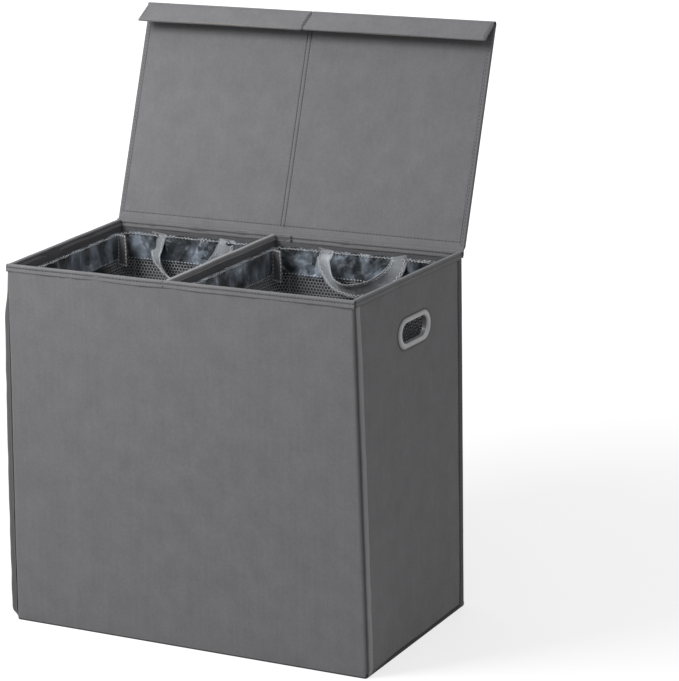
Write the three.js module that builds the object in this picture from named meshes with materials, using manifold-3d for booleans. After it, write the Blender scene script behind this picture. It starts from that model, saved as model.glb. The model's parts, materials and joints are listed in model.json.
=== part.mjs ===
// A free-standing laundry hamper: a box of fabric-covered boards parted into two bins, a lid that folds
// back on a soft strip, a flap along its front edge, and a lift-out liner with strap handles in each bin.
// Millimetres, +Z up, front at -Y. The origin is on the floor, under the middle of the box.
import * as THREE from "three";
import { mergeVertices } from "three/addons/utils/BufferGeometryUtils.js";
import Module from "manifold-3d";

const wasm = await Module();
wasm.setup();

// Box
const boxWidth = 650;
const boxDepth = 370;
const boxHeight = 610;
const boardThickness = 3;
const coverThickness = 1;
const liningThickness = 1;
const baseThickness = 1;
const layerGap = 0.3; // between sewn layers, and wherever one piece rests on another
const hemHeight = 12;
const hemThickness = 1;
const seamBandWidth = 10;
const seamBandThickness = 1;
const baseBoardClearance = 1.5;

// Dividing wall
const dividerShift = -20; // from the middle of the box, to the left
const dividerBindingHeight = 10;

// Hand holes in the side walls
const handHoleLength = 88;
const handHoleHeight = 34;
const handHoleDrop = 91; // from the rim to the middle of the hole
const handHoleShift = 12; // from the middle of the side, to the back
const grommetBarrelWall = 1.6;
const grommetFlangeWidth = 12;
const grommetFlangeNarrowing = 4; // the flange is narrower above and below the hole than at its ends
const grommetOuterThickness = 2.2;
const grommetInnerThickness = 2;
const grommetEdgeRound = 0.7;
const grommetFit = 0.3; // between the two halves
const grommetCutClearance = 0.5; // between the barrel and the hole in the wall

// Lid
const lidOverhang = 3; // past the box on each side
const lidClearance = 0.9; // above the hems when shut
const lidLean = 20; // degrees behind upright, as it stands open
const lidCreaseShift = -8; // from the middle, to the left
const lidCreaseGap = 4; // between the two boards
const lidBindingWidth = 9;
const lidBindingThickness = 1;
const hingeStripLength = 7;
const hingeStripThickness = 0.8;

// Flap
const flapLength = 45;
const flapRunningGap = 1.7; // to the front hem when shut
const flapFoldGap = 0.5; // from the fold line to each panel
const flapRestFold = 140; // degrees from straight

// Liners
const linerGap = 8; // to the walls all round
const linerDrop = 4; // below the hems
const linerWall = 1.2;
const linerFloor = 1.2;
const linerCornerRadius = 22;
const linerCuffHeight = 50;
const linerBottomHeight = 30;
const strapWidth = 28;
const strapThickness = 1.6;
const strapSpacing = 133;
const strapStraight = 30;
const strapBend = 58; // height of the rounded stretch under the straight legs
const strapStandoff = 3;
const strapSeatHeight = 10;
const tabWidth = 22;
const tabHeight = 55;
const tabThickness = 1.6;
const tabDrop = 2; // below the cuff's edge
const tabSetback = 3; // from the liner's rounded corner

const arcSteps = 5;
const cutOverrun = 1;
const weldTolerance = 0.0003;

// Worked out from the sizes above
const wallThickness = coverThickness + layerGap + boardThickness + layerGap + liningThickness;
const hemStandoff = layerGap + hemThickness;
const wallBottom = baseThickness + layerGap;
const wallTop = boxHeight - hemStandoff;
const handHoleZ = boxHeight - handHoleDrop;
const barrelLength = handHoleLength + 2 * grommetBarrelWall;
const barrelHeight = handHoleHeight + 2 * grommetBarrelWall;
const flangeLength = handHoleLength + 2 * grommetFlangeWidth;
const flangeHeight = handHoleHeight + 2 * (grommetFlangeWidth - grommetFlangeNarrowing);
const lidWidth = boxWidth + 2 * lidOverhang;
const lidLength = boxDepth + hemStandoff + flapRunningGap;
const linerBase = wallBottom + boardThickness + layerGap;
const linerTop = boxHeight - hemHeight - linerDrop;
const binBack = boxDepth / 2 - wallThickness;
const binOuterX = boxWidth / 2 - wallThickness;
const dividerHalf = (coverThickness * 2 + boardThickness) / 2 + layerGap;

const materials = {
  cover: new THREE.MeshStandardMaterial({ color: 0x7c7c7e, roughness: 0.9, metalness: 0 }),
  lining: new THREE.MeshStandardMaterial({ color: 0x4a4a4d, roughness: 0.92, metalness: 0 }),
  board: new THREE.MeshStandardMaterial({ color: 0x9a8f7f, roughness: 0.95, metalness: 0 }),
  trim: new THREE.MeshStandardMaterial({ color: 0x6b6b6e, roughness: 0.88, metalness: 0 }),
  plastic: new THREE.MeshStandardMaterial({ color: 0x8b8b8d, roughness: 0.4, metalness: 0 }),
  nylon: new THREE.MeshStandardMaterial({ color: 0x5d646c, roughness: 0.35, metalness: 0 }),
  net: new THREE.MeshStandardMaterial({ color: 0x3a3b3d, roughness: 0.7, metalness: 0 }),
  tab: new THREE.MeshStandardMaterial({ color: 0x39393b, roughness: 0.95, metalness: 0 }),
};

const hamper = new THREE.Group();

function add(group, name, geometry, material) {
  const mesh = new THREE.Mesh(geometry, material);
  mesh.name = name;
  group.add(mesh);
  return mesh;
}

// A flat piece that fills the box between two corners.
function plate(group, name, material, low, high) {
  const size = high.map((value, i) => value - low[i]);
  const mesh = add(group, name, new THREE.BoxGeometry(...size), material);
  mesh.position.set(...low.map((value, i) => value + size[i] / 2));
  return mesh;
}

function toManifold(geometry) {
  const bare = geometry.index ? geometry.toNonIndexed() : geometry.clone();
  bare.deleteAttribute("normal");
  bare.deleteAttribute("uv");
  const merged = mergeVertices(bare, weldTolerance);
  return new wasm.Manifold(
    new wasm.Mesh({
      numProp: 3,
      vertProperties: merged.attributes.position.array,
      triVerts: new Uint32Array(merged.index.array),
    }),
  );
}

function toGeometry(solid) {
  const mesh = solid.getMesh();
  const geometry = new THREE.BufferGeometry();
  geometry.setAttribute("position", new THREE.BufferAttribute(new Float32Array(mesh.vertProperties), 3));
  geometry.setIndex(new THREE.BufferAttribute(new Uint32Array(mesh.triVerts), 1));
  geometry.computeVertexNormals();
  return geometry;
}

function subtract(geometry, cutter) {
  return toGeometry(toManifold(geometry).subtract(toManifold(cutter)));
}

function join(geometry, other) {
  return toGeometry(toManifold(geometry).add(toManifold(other)));
}

function extrude(outline, depth) {
  return new THREE.ExtrudeGeometry(outline, { depth, bevelEnabled: false, curveSegments: arcSteps });
}

// Stands an outline's plane on the Y and Z axes, so that its depth runs along +X.
function turnAlongX(geometry) {
  const turn = new THREE.Matrix4().makeBasis(
    new THREE.Vector3(0, 1, 0),
    new THREE.Vector3(0, 0, 1),
    new THREE.Vector3(1, 0, 0),
  );
  return geometry.applyMatrix4(turn);
}

// An outline drawn in Y and Z, extruded along +X from the given start.
function alongX(outline, start, depth) {
  return turnAlongX(extrude(outline, depth)).translate(start, 0, 0);
}

// An outline drawn in X and Z, extruded along -Y from the given start.
function alongY(outline, start, depth) {
  const turn = new THREE.Matrix4().makeBasis(
    new THREE.Vector3(1, 0, 0),
    new THREE.Vector3(0, 0, 1),
    new THREE.Vector3(0, -1, 0),
  );
  return extrude(outline, depth).applyMatrix4(turn).translate(0, start, 0);
}

function polygon(points) {
  return new THREE.Shape(points.map(([x, y]) => new THREE.Vector2(x, y)));
}

// A level slot with round ends, about the given middle.
function slotOutline(length, height, centreX, centreY, Kind = THREE.Shape) {
  const radius = height / 2;
  const reach = length / 2 - radius;
  const outline = new Kind();
  outline.absarc(centreX + reach, centreY, radius, -Math.PI / 2, Math.PI / 2, false);
  outline.absarc(centreX - reach, centreY, radius, Math.PI / 2, (3 * Math.PI) / 2, false);
  outline.closePath();
  return outline;
}

function roundedRectangle(low, high, radius, Kind = THREE.Shape) {
  const outline = new Kind();
  outline.absarc(high[0] - radius, low[1] + radius, radius, -Math.PI / 2, 0, false);
  outline.absarc(high[0] - radius, high[1] - radius, radius, 0, Math.PI / 2, false);
  outline.absarc(low[0] + radius, high[1] - radius, radius, Math.PI / 2, Math.PI, false);
  outline.absarc(low[0] + radius, low[1] + radius, radius, Math.PI, (3 * Math.PI) / 2, false);
  outline.closePath();
  return outline;
}

// The section of a strip folded over an edge: open downwards, across a wall from near to far.
function foldedSection(near, far, height, thickness, top) {
  const inTop = top - thickness;
  const foot = top - height;
  return polygon([
    [near, foot],
    [near + thickness, foot],
    [near + thickness, inTop],
    [far - thickness, inTop],
    [far - thickness, foot],
    [far, foot],
    [far, top],
    [near, top],
  ]);
}

// Front and back walls: cover, board and lining, the full width of the box.
function frontOrBackWall(name, side) {
  const layers = [
    ["cover", coverThickness, materials.cover],
    ["board", boardThickness, materials.board],
    ["lining", liningThickness, materials.lining],
  ];
  let outer = boxDepth / 2;
  for (const [layer, thickness, material] of layers) {
    const inner = outer - thickness;
    const y = [side * outer, side * inner].sort((a, b) => a - b);
    const low = [-boxWidth / 2, y[0], wallBottom];
    plate(hamper, `${name}_${layer}`, material, low, [boxWidth / 2, y[1], wallTop]);
    outer = inner - layerGap;
  }
}

// Side walls: the same layers between the front and back walls and their hems, each with the hand hole.
function sideWall(name, side) {
  const reach = binBack - hemStandoff - layerGap;
  const layers = [
    ["cover", coverThickness, materials.cover],
    ["board", boardThickness, materials.board],
    ["lining", liningThickness, materials.lining],
  ];
  let outer = boxWidth / 2;
  for (const [layer, thickness, material] of layers) {
    const outline = polygon([
      [-reach, wallBottom],
      [reach, wallBottom],
      [reach, wallTop],
      [-reach, wallTop],
    ]);
    const cutLength = barrelLength + 2 * grommetCutClearance;
    const cutHeight = barrelHeight + 2 * grommetCutClearance;
    outline.holes.push(slotOutline(cutLength, cutHeight, handHoleShift, handHoleZ, THREE.Path));
    const start = side > 0 ? outer - thickness : -outer;
    add(hamper, `${name}_${layer}`, alongX(outline, start, thickness), material);
    outer -= thickness + layerGap;
  }
}

function dividingWall() {
  const reach = binBack - hemStandoff - layerGap;
  const top = boxHeight - hemThickness - layerGap;
  const half = boardThickness / 2;
  const coverNear = half + layerGap;
  const coverFar = coverNear + coverThickness;
  const wall = (name, from, to, material) =>
    plate(
      hamper,
      name,
      material,
      [dividerShift + from, -reach, wallBottom],
      [dividerShift + to, reach, top],
    );
  wall("divider_board", -half, half, materials.board);
  wall("divider_left_cover", -coverFar, -coverNear, materials.lining);
  wall("divider_right_cover", coverNear, coverFar, materials.lining);
  const edge = dividerHalf + hemStandoff;
  const section = foldedSection(
    dividerShift - edge,
    dividerShift + edge,
    dividerBindingHeight,
    hemThickness,
    boxHeight,
  );
  add(hamper, "divider_binding", alongY(section, reach, 2 * reach), materials.trim);
}

function hems() {
  const outerY = boxDepth / 2 + hemStandoff;
  const innerY = binBack - hemStandoff;
  const outerX = boxWidth / 2 + hemStandoff;
  const innerX = binOuterX - hemStandoff;
  const fold = (near, far) => foldedSection(near, far, hemHeight, hemThickness, boxHeight);
  add(hamper, "front_hem", alongX(fold(-outerY, -innerY), -outerX, 2 * outerX), materials.cover);
  add(hamper, "back_hem", alongX(fold(innerY, outerY), -outerX, 2 * outerX), materials.cover);
  const reach = innerY - layerGap;
  add(hamper, "left_hem", alongY(fold(-outerX, -innerX), reach, 2 * reach), materials.cover);
  add(hamper, "right_hem", alongY(fold(innerX, outerX), reach, 2 * reach), materials.cover);
}

function cornerSeams() {
  const top = boxHeight - hemHeight - layerGap;
  for (const [sideName, sideX] of [["left", -1], ["right", 1]]) {
    for (const [endName, endY] of [["front", -1], ["back", 1]]) {
      const near = boxWidth / 2 + layerGap;
      const x = [sideX * near, sideX * (near + seamBandThickness)].sort((a, b) => a - b);
      const y = [endY * (boxDepth / 2), endY * (boxDepth / 2 - seamBandWidth)].sort((a, b) => a - b);
      const name = `${endName}_${sideName}_seam`;
      plate(hamper, name, materials.trim, [x[0], y[0], wallBottom], [x[1], y[1], top]);
    }
  }
}

function base() {
  const halfX = boxWidth / 2;
  const halfY = boxDepth / 2;
  plate(hamper, "base_cover", materials.lining, [-halfX, -halfY, 0], [halfX, halfY, baseThickness]);
  for (const bin of bins) {
    plate(
      hamper,
      `${bin.name}_base_board`,
      materials.board,
      [bin.left + baseBoardClearance, -binBack + baseBoardClearance, wallBottom],
      [bin.right - baseBoardClearance, binBack - baseBoardClearance, wallBottom + boardThickness],
    );
  }
}

// A flat ring with rounded edges on both faces, standing out along +X from the given start.
function flangeRing(holeLength, holeHeight, start, thickness) {
  const round = grommetEdgeRound;
  const outline = slotOutline(flangeLength - 2 * round, flangeHeight - 2 * round, 0, 0);
  outline.holes.push(slotOutline(holeLength + 2 * round, holeHeight + 2 * round, 0, 0, THREE.Path));
  const ring = new THREE.ExtrudeGeometry(outline, {
    depth: thickness - 2 * round,
    bevelEnabled: true,
    bevelThickness: round,
    bevelSize: round,
    bevelSegments: 2,
    curveSegments: arcSteps,
  });
  return turnAlongX(ring).translate(start + round, 0, 0);
}

// The two halves of a hand-hole grommet, with +X out of the wall and 0 at the wall's outer face.
function grommet(name, side) {
  const holder = new THREE.Group();
  holder.position.set((side * boxWidth) / 2, handHoleShift, handHoleZ);
  holder.rotation.z = side > 0 ? 0 : Math.PI;
  hamper.add(holder);
  const ringStart = -wallThickness - layerGap - grommetInnerThickness;
  const flangeStart = layerGap;
  const barrelOutline = slotOutline(barrelLength, barrelHeight, 0, 0);
  barrelOutline.holes.push(slotOutline(handHoleLength, handHoleHeight, 0, 0, THREE.Path));
  const barrelEnd = flangeStart + grommetOuterThickness / 2;
  const barrel = alongX(barrelOutline, ringStart, barrelEnd - ringStart);
  const flange = flangeRing(handHoleLength, handHoleHeight, flangeStart, grommetOuterThickness);
  add(holder, `${name}_grommet_outer`, join(flange, barrel), materials.plastic);
  const fit = 2 * grommetFit;
  const ring = flangeRing(barrelLength + fit, barrelHeight + fit, ringStart, grommetInnerThickness);
  add(holder, `${name}_grommet_inner`, ring, materials.plastic);
}

// The lid, drawn shut about its hinge line: it reaches along -Y, with its inner face at z = 0.
function lid() {
  const holder = new THREE.Group();
  holder.position.set(0, boxDepth / 2, boxHeight + lidClearance);
  holder.rotation.x = THREE.MathUtils.degToRad(-(90 + lidLean));
  hamper.add(holder);
  const near = -hingeStripLength;
  const far = -lidLength + flapFoldGap;
  const skinHalf = lidWidth / 2 - lidBindingWidth - layerGap;
  const boardHalf = lidWidth / 2 - lidBindingThickness - layerGap;
  const boardLow = liningThickness + layerGap;
  const boardHigh = boardLow + boardThickness;
  const coverLow = boardHigh + layerGap;
  const coverHigh = coverLow + coverThickness;
  plate(holder, "lid_lining", materials.cover, [-skinHalf, far, 0], [skinHalf, near, liningThickness]);
  plate(holder, "lid_cover", materials.cover, [-skinHalf, far, coverLow], [skinHalf, near, coverHigh]);
  twoBoards(holder, "lid", boardHalf, far, near, boardLow, boardHigh);
  for (const [name, side] of [["left", -1], ["right", 1]]) {
    const edge = (side * lidWidth) / 2;
    const web = edge - side * lidBindingThickness;
    const lip = edge - side * lidBindingWidth;
    const section = polygon([
      [edge, 0],
      [edge, coverHigh],
      [lip, coverHigh],
      [lip, coverHigh - lidBindingThickness],
      [web, coverHigh - lidBindingThickness],
      [web, lidBindingThickness],
      [lip, lidBindingThickness],
      [lip, 0],
    ]);
    add(holder, `lid_${name}_binding`, alongY(section, near, near - far), materials.trim);
  }
  plate(
    holder,
    "lid_hinge_strip",
    materials.cover,
    [-lidWidth / 2, near + layerGap, 0],
    [lidWidth / 2, -layerGap, hingeStripThickness],
  );
  flap(holder, boardHalf);
}

// Two boards side by side, with the crease between them.
function twoBoards(group, name, half, far, near, low, high) {
  const leftEnd = lidCreaseShift - lidCreaseGap / 2;
  const rightEnd = lidCreaseShift + lidCreaseGap / 2;
  plate(group, `${name}_left_board`, materials.board, [-half, far, low], [leftEnd, near, high]);
  plate(group, `${name}_right_board`, materials.board, [rightEnd, far, low], [half, near, high]);
}

// The flap, drawn straight on from the lid about the fold line, then folded down.
function flap(lidHolder, boardHalf) {
  const holder = new THREE.Group();
  holder.position.set(0, -lidLength, 0);
  holder.rotation.x = THREE.MathUtils.degToRad(flapRestFold);
  lidHolder.add(holder);
  const near = -flapFoldGap;
  const boardLow = coverThickness + layerGap;
  const boardHigh = boardLow + boardThickness;
  const top = boardHigh + layerGap + coverThickness;
  const web = -flapLength + coverThickness;
  const section = polygon([
    [near, 0],
    [near, coverThickness],
    [web, coverThickness],
    [web, top - coverThickness],
    [near, top - coverThickness],
    [near, top],
    [-flapLength, top],
    [-flapLength, 0],
  ]);
  add(holder, "flap_cover", alongX(section, -lidWidth / 2, lidWidth), materials.cover);
  twoBoards(holder, "flap", boardHalf, web + layerGap, near, boardLow, boardHigh);
}

// A liner's wall of the given height, as a ring with rounded corners.
function linerRing(low, high, bottom, height) {
  const outline = roundedRectangle(low, high, linerCornerRadius);
  const inLow = low.map((value) => value + linerWall);
  const inHigh = high.map((value) => value - linerWall);
  outline.holes.push(roundedRectangle(inLow, inHigh, linerCornerRadius - linerWall, THREE.Path));
  return extrude(outline, height).translate(0, 0, bottom);
}

function linerBottom(low, high) {
  const outer = extrude(roundedRectangle(low, high, linerCornerRadius), linerBottomHeight);
  const inLow = low.map((value) => value + linerWall);
  const inHigh = high.map((value) => value - linerWall);
  const inner = extrude(
    roundedRectangle(inLow, inHigh, linerCornerRadius - linerWall),
    linerBottomHeight - linerFloor + cutOverrun,
  );
  return subtract(outer, inner.translate(0, 0, linerFloor)).translate(0, 0, linerBase);
}

// A strap handle about its hinge line, just over the cuff's edge: it hangs down, and stands off along -Y.
function strapHandle(name, centreX, cuffFace, facing) {
  const holder = new THREE.Group();
  holder.position.set(centreX, facing * (cuffFace - layerGap), linerTop + layerGap);
  holder.rotation.z = facing > 0 ? 0 : Math.PI;
  hamper.add(holder);
  const outerHalf = (strapSpacing + strapWidth) / 2;
  const innerHalf = (strapSpacing - strapWidth) / 2;
  const loop = new THREE.Shape();
  loop.moveTo(-outerHalf, 0);
  loop.absellipse(0, -strapStraight, outerHalf, strapBend, Math.PI, 2 * Math.PI, false);
  loop.lineTo(outerHalf, 0);
  loop.lineTo(innerHalf, 0);
  loop.absellipse(0, -strapStraight, innerHalf, strapBend - strapWidth, 2 * Math.PI, Math.PI, true);
  loop.lineTo(-innerHalf, 0);
  loop.closePath();
  let strap = alongY(loop, -strapStandoff, strapThickness);
  for (const side of [-1, 1]) {
    const seat = new THREE.BoxGeometry(strapWidth, strapStandoff + strapThickness, strapSeatHeight);
    seat.translate((side * strapSpacing) / 2, -(strapStandoff + strapThickness) / 2, -strapSeatHeight / 2);
    strap = join(strap, seat);
  }
  add(holder, name, strap, materials.nylon);
}

function liner(bin) {
  const low = [bin.left + linerGap, -binBack + linerGap];
  const high = [bin.right - linerGap, binBack - linerGap];
  const bottomTop = linerBase + linerBottomHeight;
  const netLow = bottomTop + layerGap;
  const cuffLow = linerTop - linerCuffHeight;
  const name = `${bin.name}_liner`;
  add(hamper, `${name}_cuff`, linerRing(low, high, cuffLow, linerCuffHeight), materials.nylon);
  add(hamper, `${name}_net`, linerRing(low, high, netLow, cuffLow - layerGap - netLow), materials.net);
  add(hamper, `${name}_bottom`, linerBottom(low, high), materials.nylon);
  const centreX = (bin.left + bin.right) / 2;
  const cuffFace = high[1] - linerWall;
  strapHandle(`${name}_back_handle`, centreX, cuffFace, 1);
  strapHandle(`${name}_front_handle`, centreX, cuffFace, -1);
  const tabBack = high[1] - linerCornerRadius - tabSetback;
  const tabTop = linerTop - tabDrop;
  for (const [side, wallX, inwards] of [["left", low[0], 1], ["right", high[0], -1]]) {
    const near = wallX + inwards * (linerWall + layerGap);
    const x = [near, near + inwards * tabThickness].sort((a, b) => a - b);
    plate(
      hamper,
      `${name}_${side}_tab`,
      materials.tab,
      [x[0], tabBack - tabWidth, tabTop - tabHeight],
      [x[1], tabBack, tabTop],
    );
  }
}

const bins = [
  { name: "left", left: -binOuterX, right: dividerShift - dividerHalf },
  { name: "right", left: dividerShift + dividerHalf, right: binOuterX },
];

frontOrBackWall("front", -1);
frontOrBackWall("back", 1);
sideWall("left", -1);
sideWall("right", 1);
dividingWall();
hems();
cornerSeams();
base();
grommet("left", -1);
grommet("right", 1);
lid();
bins.forEach(liner);

export default hamper;
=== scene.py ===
"""A laundry hamper with two bins: sewn covers, lid, net liners and thread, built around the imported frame."""

import json
import math

import bmesh
import bpy
import numpy as np
from mathutils import Matrix, Vector


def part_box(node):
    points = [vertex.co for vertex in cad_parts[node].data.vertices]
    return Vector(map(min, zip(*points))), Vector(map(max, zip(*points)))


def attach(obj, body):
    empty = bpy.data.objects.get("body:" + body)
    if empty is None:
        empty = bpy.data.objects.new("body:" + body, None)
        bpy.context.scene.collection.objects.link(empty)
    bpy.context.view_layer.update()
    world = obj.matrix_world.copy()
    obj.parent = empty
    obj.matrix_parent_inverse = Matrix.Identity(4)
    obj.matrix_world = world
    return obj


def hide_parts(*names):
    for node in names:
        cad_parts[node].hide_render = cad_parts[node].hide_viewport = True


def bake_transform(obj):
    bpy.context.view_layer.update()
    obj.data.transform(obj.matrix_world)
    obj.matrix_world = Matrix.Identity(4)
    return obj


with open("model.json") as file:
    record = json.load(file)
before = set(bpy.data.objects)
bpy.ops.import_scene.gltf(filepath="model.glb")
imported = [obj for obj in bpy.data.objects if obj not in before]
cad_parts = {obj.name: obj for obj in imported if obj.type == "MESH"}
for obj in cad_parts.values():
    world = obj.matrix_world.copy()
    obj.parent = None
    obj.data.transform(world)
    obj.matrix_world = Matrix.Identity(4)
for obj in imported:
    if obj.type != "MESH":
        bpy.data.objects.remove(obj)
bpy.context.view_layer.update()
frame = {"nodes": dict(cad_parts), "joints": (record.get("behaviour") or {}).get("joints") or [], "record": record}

MM = 0.001
CLOTH = 0.9 * MM  # thickness of the sewn cloth
THIN_CLOTH = 0.7 * MM  # the same round the lid's hinge and the flap's fold
SUNK = 0.1 * MM  # how far a stitch lies in its cloth
JOINT_AT = {
    joint["name"]: np.array(joint["pos_m"]) for joint in frame["joints"] if "pos_m" in joint
}
BODY_OF = {
    node: body
    for body, nodes in frame["record"]["behaviour"]["bodies"].items()
    for node in nodes
}
SLOT_OF = {part["node"]: part["material_slot"] for part in frame["record"]["subparts"]}
SLOT_COLOUR = {slot["slot"]: slot["base_color"] for slot in frame["record"]["materials"]}

bl_info = {
    "name": "Two-bin laundry hamper",
    "version": (1, 0, 0),
    "blender": (4, 5, 0),
    "location": "3D View > Sidebar > Hamper",
    "description": "Builds a laundry hamper with two bins around its packed frame",
    "category": "Object",
}


# Sizes and colours that a user would change


def length(name, description, millimetres):
    return bpy.props.FloatProperty(
        name=name, description=description, default=millimetres * MM, unit="LENGTH", precision=4
    )


def share(name, description, value):
    return bpy.props.FloatProperty(
        name=name, description=description, default=value, min=0, max=1, subtype="FACTOR"
    )


def colour(name, description, value):
    return bpy.props.FloatVectorProperty(
        name=name, description=description, default=value, min=0, max=1, subtype="COLOR"
    )


def degrees(name, description, value):
    return bpy.props.FloatProperty(
        name=name, description=description, default=math.radians(value), unit="ROTATION"
    )


class HamperCovers(bpy.types.PropertyGroup):
    """The walls' cloth, inside and out."""

    step: length("Mesh step", "Distance between points of a wall's cloth", 7)
    corner_radius: length("Corner radius", "Rounding where the front and back cloth turns a corner", 3)
    pull_in: length("Top pull-in", "How far each top front corner leans in", 12)
    left_swell: length("Left swell", "How far the left side stands out behind its front corner", 15)
    right_swell: length("Right swell", "How far the right side stands out behind its front corner", 2)
    unevenness: length("Unevenness", "Height of the soft waves in a wall's cloth", 0.35)
    seam_width: length("Seam width", "Width of the sewn band beside each upright corner", 16)
    seam_start: length("Seam start", "From each corner to its sewn band", 3.6)
    left_seam_start: length("Left seam start", "The same at the left front corner", 1)
    # Painted shade at the left front corner: in its groove and on its band.
    left_groove: share("Left groove", "How dark the groove at the left front corner is", 0.4)
    left_band: share("Left band", "How dark the band at the left front corner is", 1)
    seam_height: length("Seam height", "How far that band stands out", 2.2)
    # The base's turned-up edge carries painted shade, a dark strip along the foot of the sides.
    skirt_height: length("Base edge", "How far the base's dark cloth turns up the sides", 8)


class HamperHems(bpy.types.PropertyGroup):
    """The folded strips round the rim and over the dividing wall."""

    step: length("Mesh step", "Distance between points along a hem", 5)
    waviness: length("Waviness", "How far a hem wanders up and down", 0.5)
    stitch_drop: length("Stitch drop", "From a hem's top edge to its row of stitches", 4.6)
    notch_x: length("Notch place", "Where the back hem's ends meet", 14)


class HamperLid(bpy.types.PropertyGroup):
    """The lid and its flap."""

    step: length("Mesh step", "Distance between points of the lid's cloth", 7)
    crease_x: length("Crease place", "Place of the sewn crease across the lid", -8)
    crease_width: length("Crease width", "Distance between the crease's two rows of stitches", 7)
    crease_depth: length("Crease depth", "How deep the cloth is drawn in at the crease", 0.9)
    fold: degrees("Flap fold", "How far the flap is turned down from straight", 140)
    flap_length: length("Flap length", "From the fold to the flap's free edge", 45)
    thickness: length("Thickness", "Of the lid and flap with their boards", 5.6)
    # Painted shade on the lid's cloth, darker towards its front edge.
    fade: share("Front fade", "How much darker the lid's cloth is at its front edge", 0.13)


class HamperLiners(bpy.types.PropertyGroup):
    """The lift-out bags."""

    crinkle: length("Crinkle", "Height of the folds in the nylon", 2.9)
    gather: length("Gather", "Height of the gathers along the cuff's top edge", 1.1)
    mesh_pitch: length("Mesh pitch", "Distance between the net's holes", 6)
    strand_radius: length("Strand radius", "Of the net's threads", 0.68)
    slack: length("Slack", "How far the net wanders in and out", 3.5)
    tab_turn: degrees("Tab turn", "How far each tape tab stands off its wall", 72)


class HamperThread(bpy.types.PropertyGroup):
    """The sewing thread."""

    pitch: length("Stitch pitch", "From one stitch to the next", 6.2)
    stitch: length("Stitch length", "Of the thread that shows", 3.9)
    radius: length("Thread radius", "Of the sewing thread", 0.54)


class HamperColours(bpy.types.PropertyGroup):
    """The finishes' colours."""

    cover: colour("Cover", "Non-woven cloth of the walls and lid", SLOT_COLOUR["cover_fabric"])
    trim: colour("Trim", "Bindings of the lid's sides", (0.185, 0.185, 0.194))
    binding: colour("Binding", "Corner seams and the dividing wall's binding", (0.35, 0.35, 0.36))
    lining: colour("Lining", "Dark cloth inside the bins", (0.125, 0.125, 0.132))
    board: colour("Board", "Stiff board inside the cloth", SLOT_COLOUR["board"])
    plastic: colour("Plastic", "Hand-hole grommets", (0.5, 0.5, 0.51))
    nylon: colour("Nylon", "Cuffs, liner bottoms and handles", SLOT_COLOUR["liner_nylon"])
    strap: colour("Strap", "Nylon of the handles", (0.3, 0.315, 0.335))
    net: colour("Net", "Threads of the net", (0.42, 0.43, 0.45))
    tab: colour("Tab", "Hook-and-loop tape", (0.19, 0.19, 0.2))
    dark_thread: colour("Dark thread", "Thread on the grey cloth", (0.03, 0.03, 0.032))
    light_thread: colour("Light thread", "Thread on the liners", (0.75, 0.76, 0.78))
    floor: colour("Floor", "Studio floor", (0.5, 0.5, 0.5))


class HamperStudio(bpy.types.PropertyGroup):
    """The camera and the light."""

    azimuth: degrees("Azimuth", "Of the camera, to the right of the front", 27.25)
    elevation: degrees("Elevation", "Of the camera, above the horizon", 14.8)
    roll: degrees("Roll", "Of the camera about its view line", -1)
    distance: length("Distance", "From the camera to its target", 4500)
    target_x: length("Target x", "Where the camera looks, across", 192.9)
    target_z: length("Target z", "Where the camera looks, above the floor", 490.5)
    lens: bpy.props.FloatProperty(
        name="Lens", description="Focal length in millimetres on a 36 mm sensor", default=148.6
    )
    key_power: bpy.props.FloatProperty(
        name="Key light", description="Power of the main soft light", default=32.4, unit="POWER"
    )
    surround: share("Surround", "Strength of the even light from all round", 0.43)
    floor_lift: share("Floor lift", "Brightness added to the near floor as the camera sees it", 0.68)


GROUPS = {
    "hamper_covers": HamperCovers,
    "hamper_hems": HamperHems,
    "hamper_lid": HamperLid,
    "hamper_liners": HamperLiners,
    "hamper_thread": HamperThread,
    "hamper_colours": HamperColours,
    "hamper_studio": HamperStudio,
}


def settings(name):
    return getattr(bpy.context.scene, f"hamper_{name}")


# Shapes


def smooth(value):
    """A soft step from 0 to 1."""
    value = np.clip(value, 0, 1)
    return value * value * (3 - 2 * value)


def bell(offset, width, power=2):
    """1 where the offset is 0, near 0 two widths away."""
    return np.exp(-((offset / width) ** power))


def nearest(values, wanted):
    return int(np.argmin(np.abs(values - wanted)))


def waves(points, wavelength, seed, count=26):
    """Soft unevenness, about -1 to 1, at each of the points."""
    draw = np.random.default_rng(seed)
    way = draw.normal(size=(count, 3))
    way /= np.linalg.norm(way, axis=1)[:, None]
    number = 2 * np.pi / (wavelength * draw.uniform(0.7, 1.6, count))
    phase = draw.uniform(0, 2 * np.pi, count)
    total = np.sin(points @ (way * number[:, None]).T + phase).sum(-1)
    return total * 0.5 * math.sqrt(2 / count)


def spaced(low, high, step):
    """Values from low to high, at most a step apart."""
    return np.linspace(low, high, max(2, int(math.ceil((high - low) / step)) + 1))


def edged(low, high, step, edge):
    """Values about a step apart, with closer ones within the edge distance of both ends."""
    near = edge * np.array([0.0, 0.2, 0.45, 0.7])
    return np.concatenate([low + near, spaced(low + edge, high - edge, step), (high - near)[::-1]])


def closer(values, low, high, step):
    """Values with others a step apart between low and high."""
    outside = values[(values < low - step / 2) | (values > high + step / 2)]
    return np.sort(np.concatenate([outside, spaced(low, high, step)]))


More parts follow.
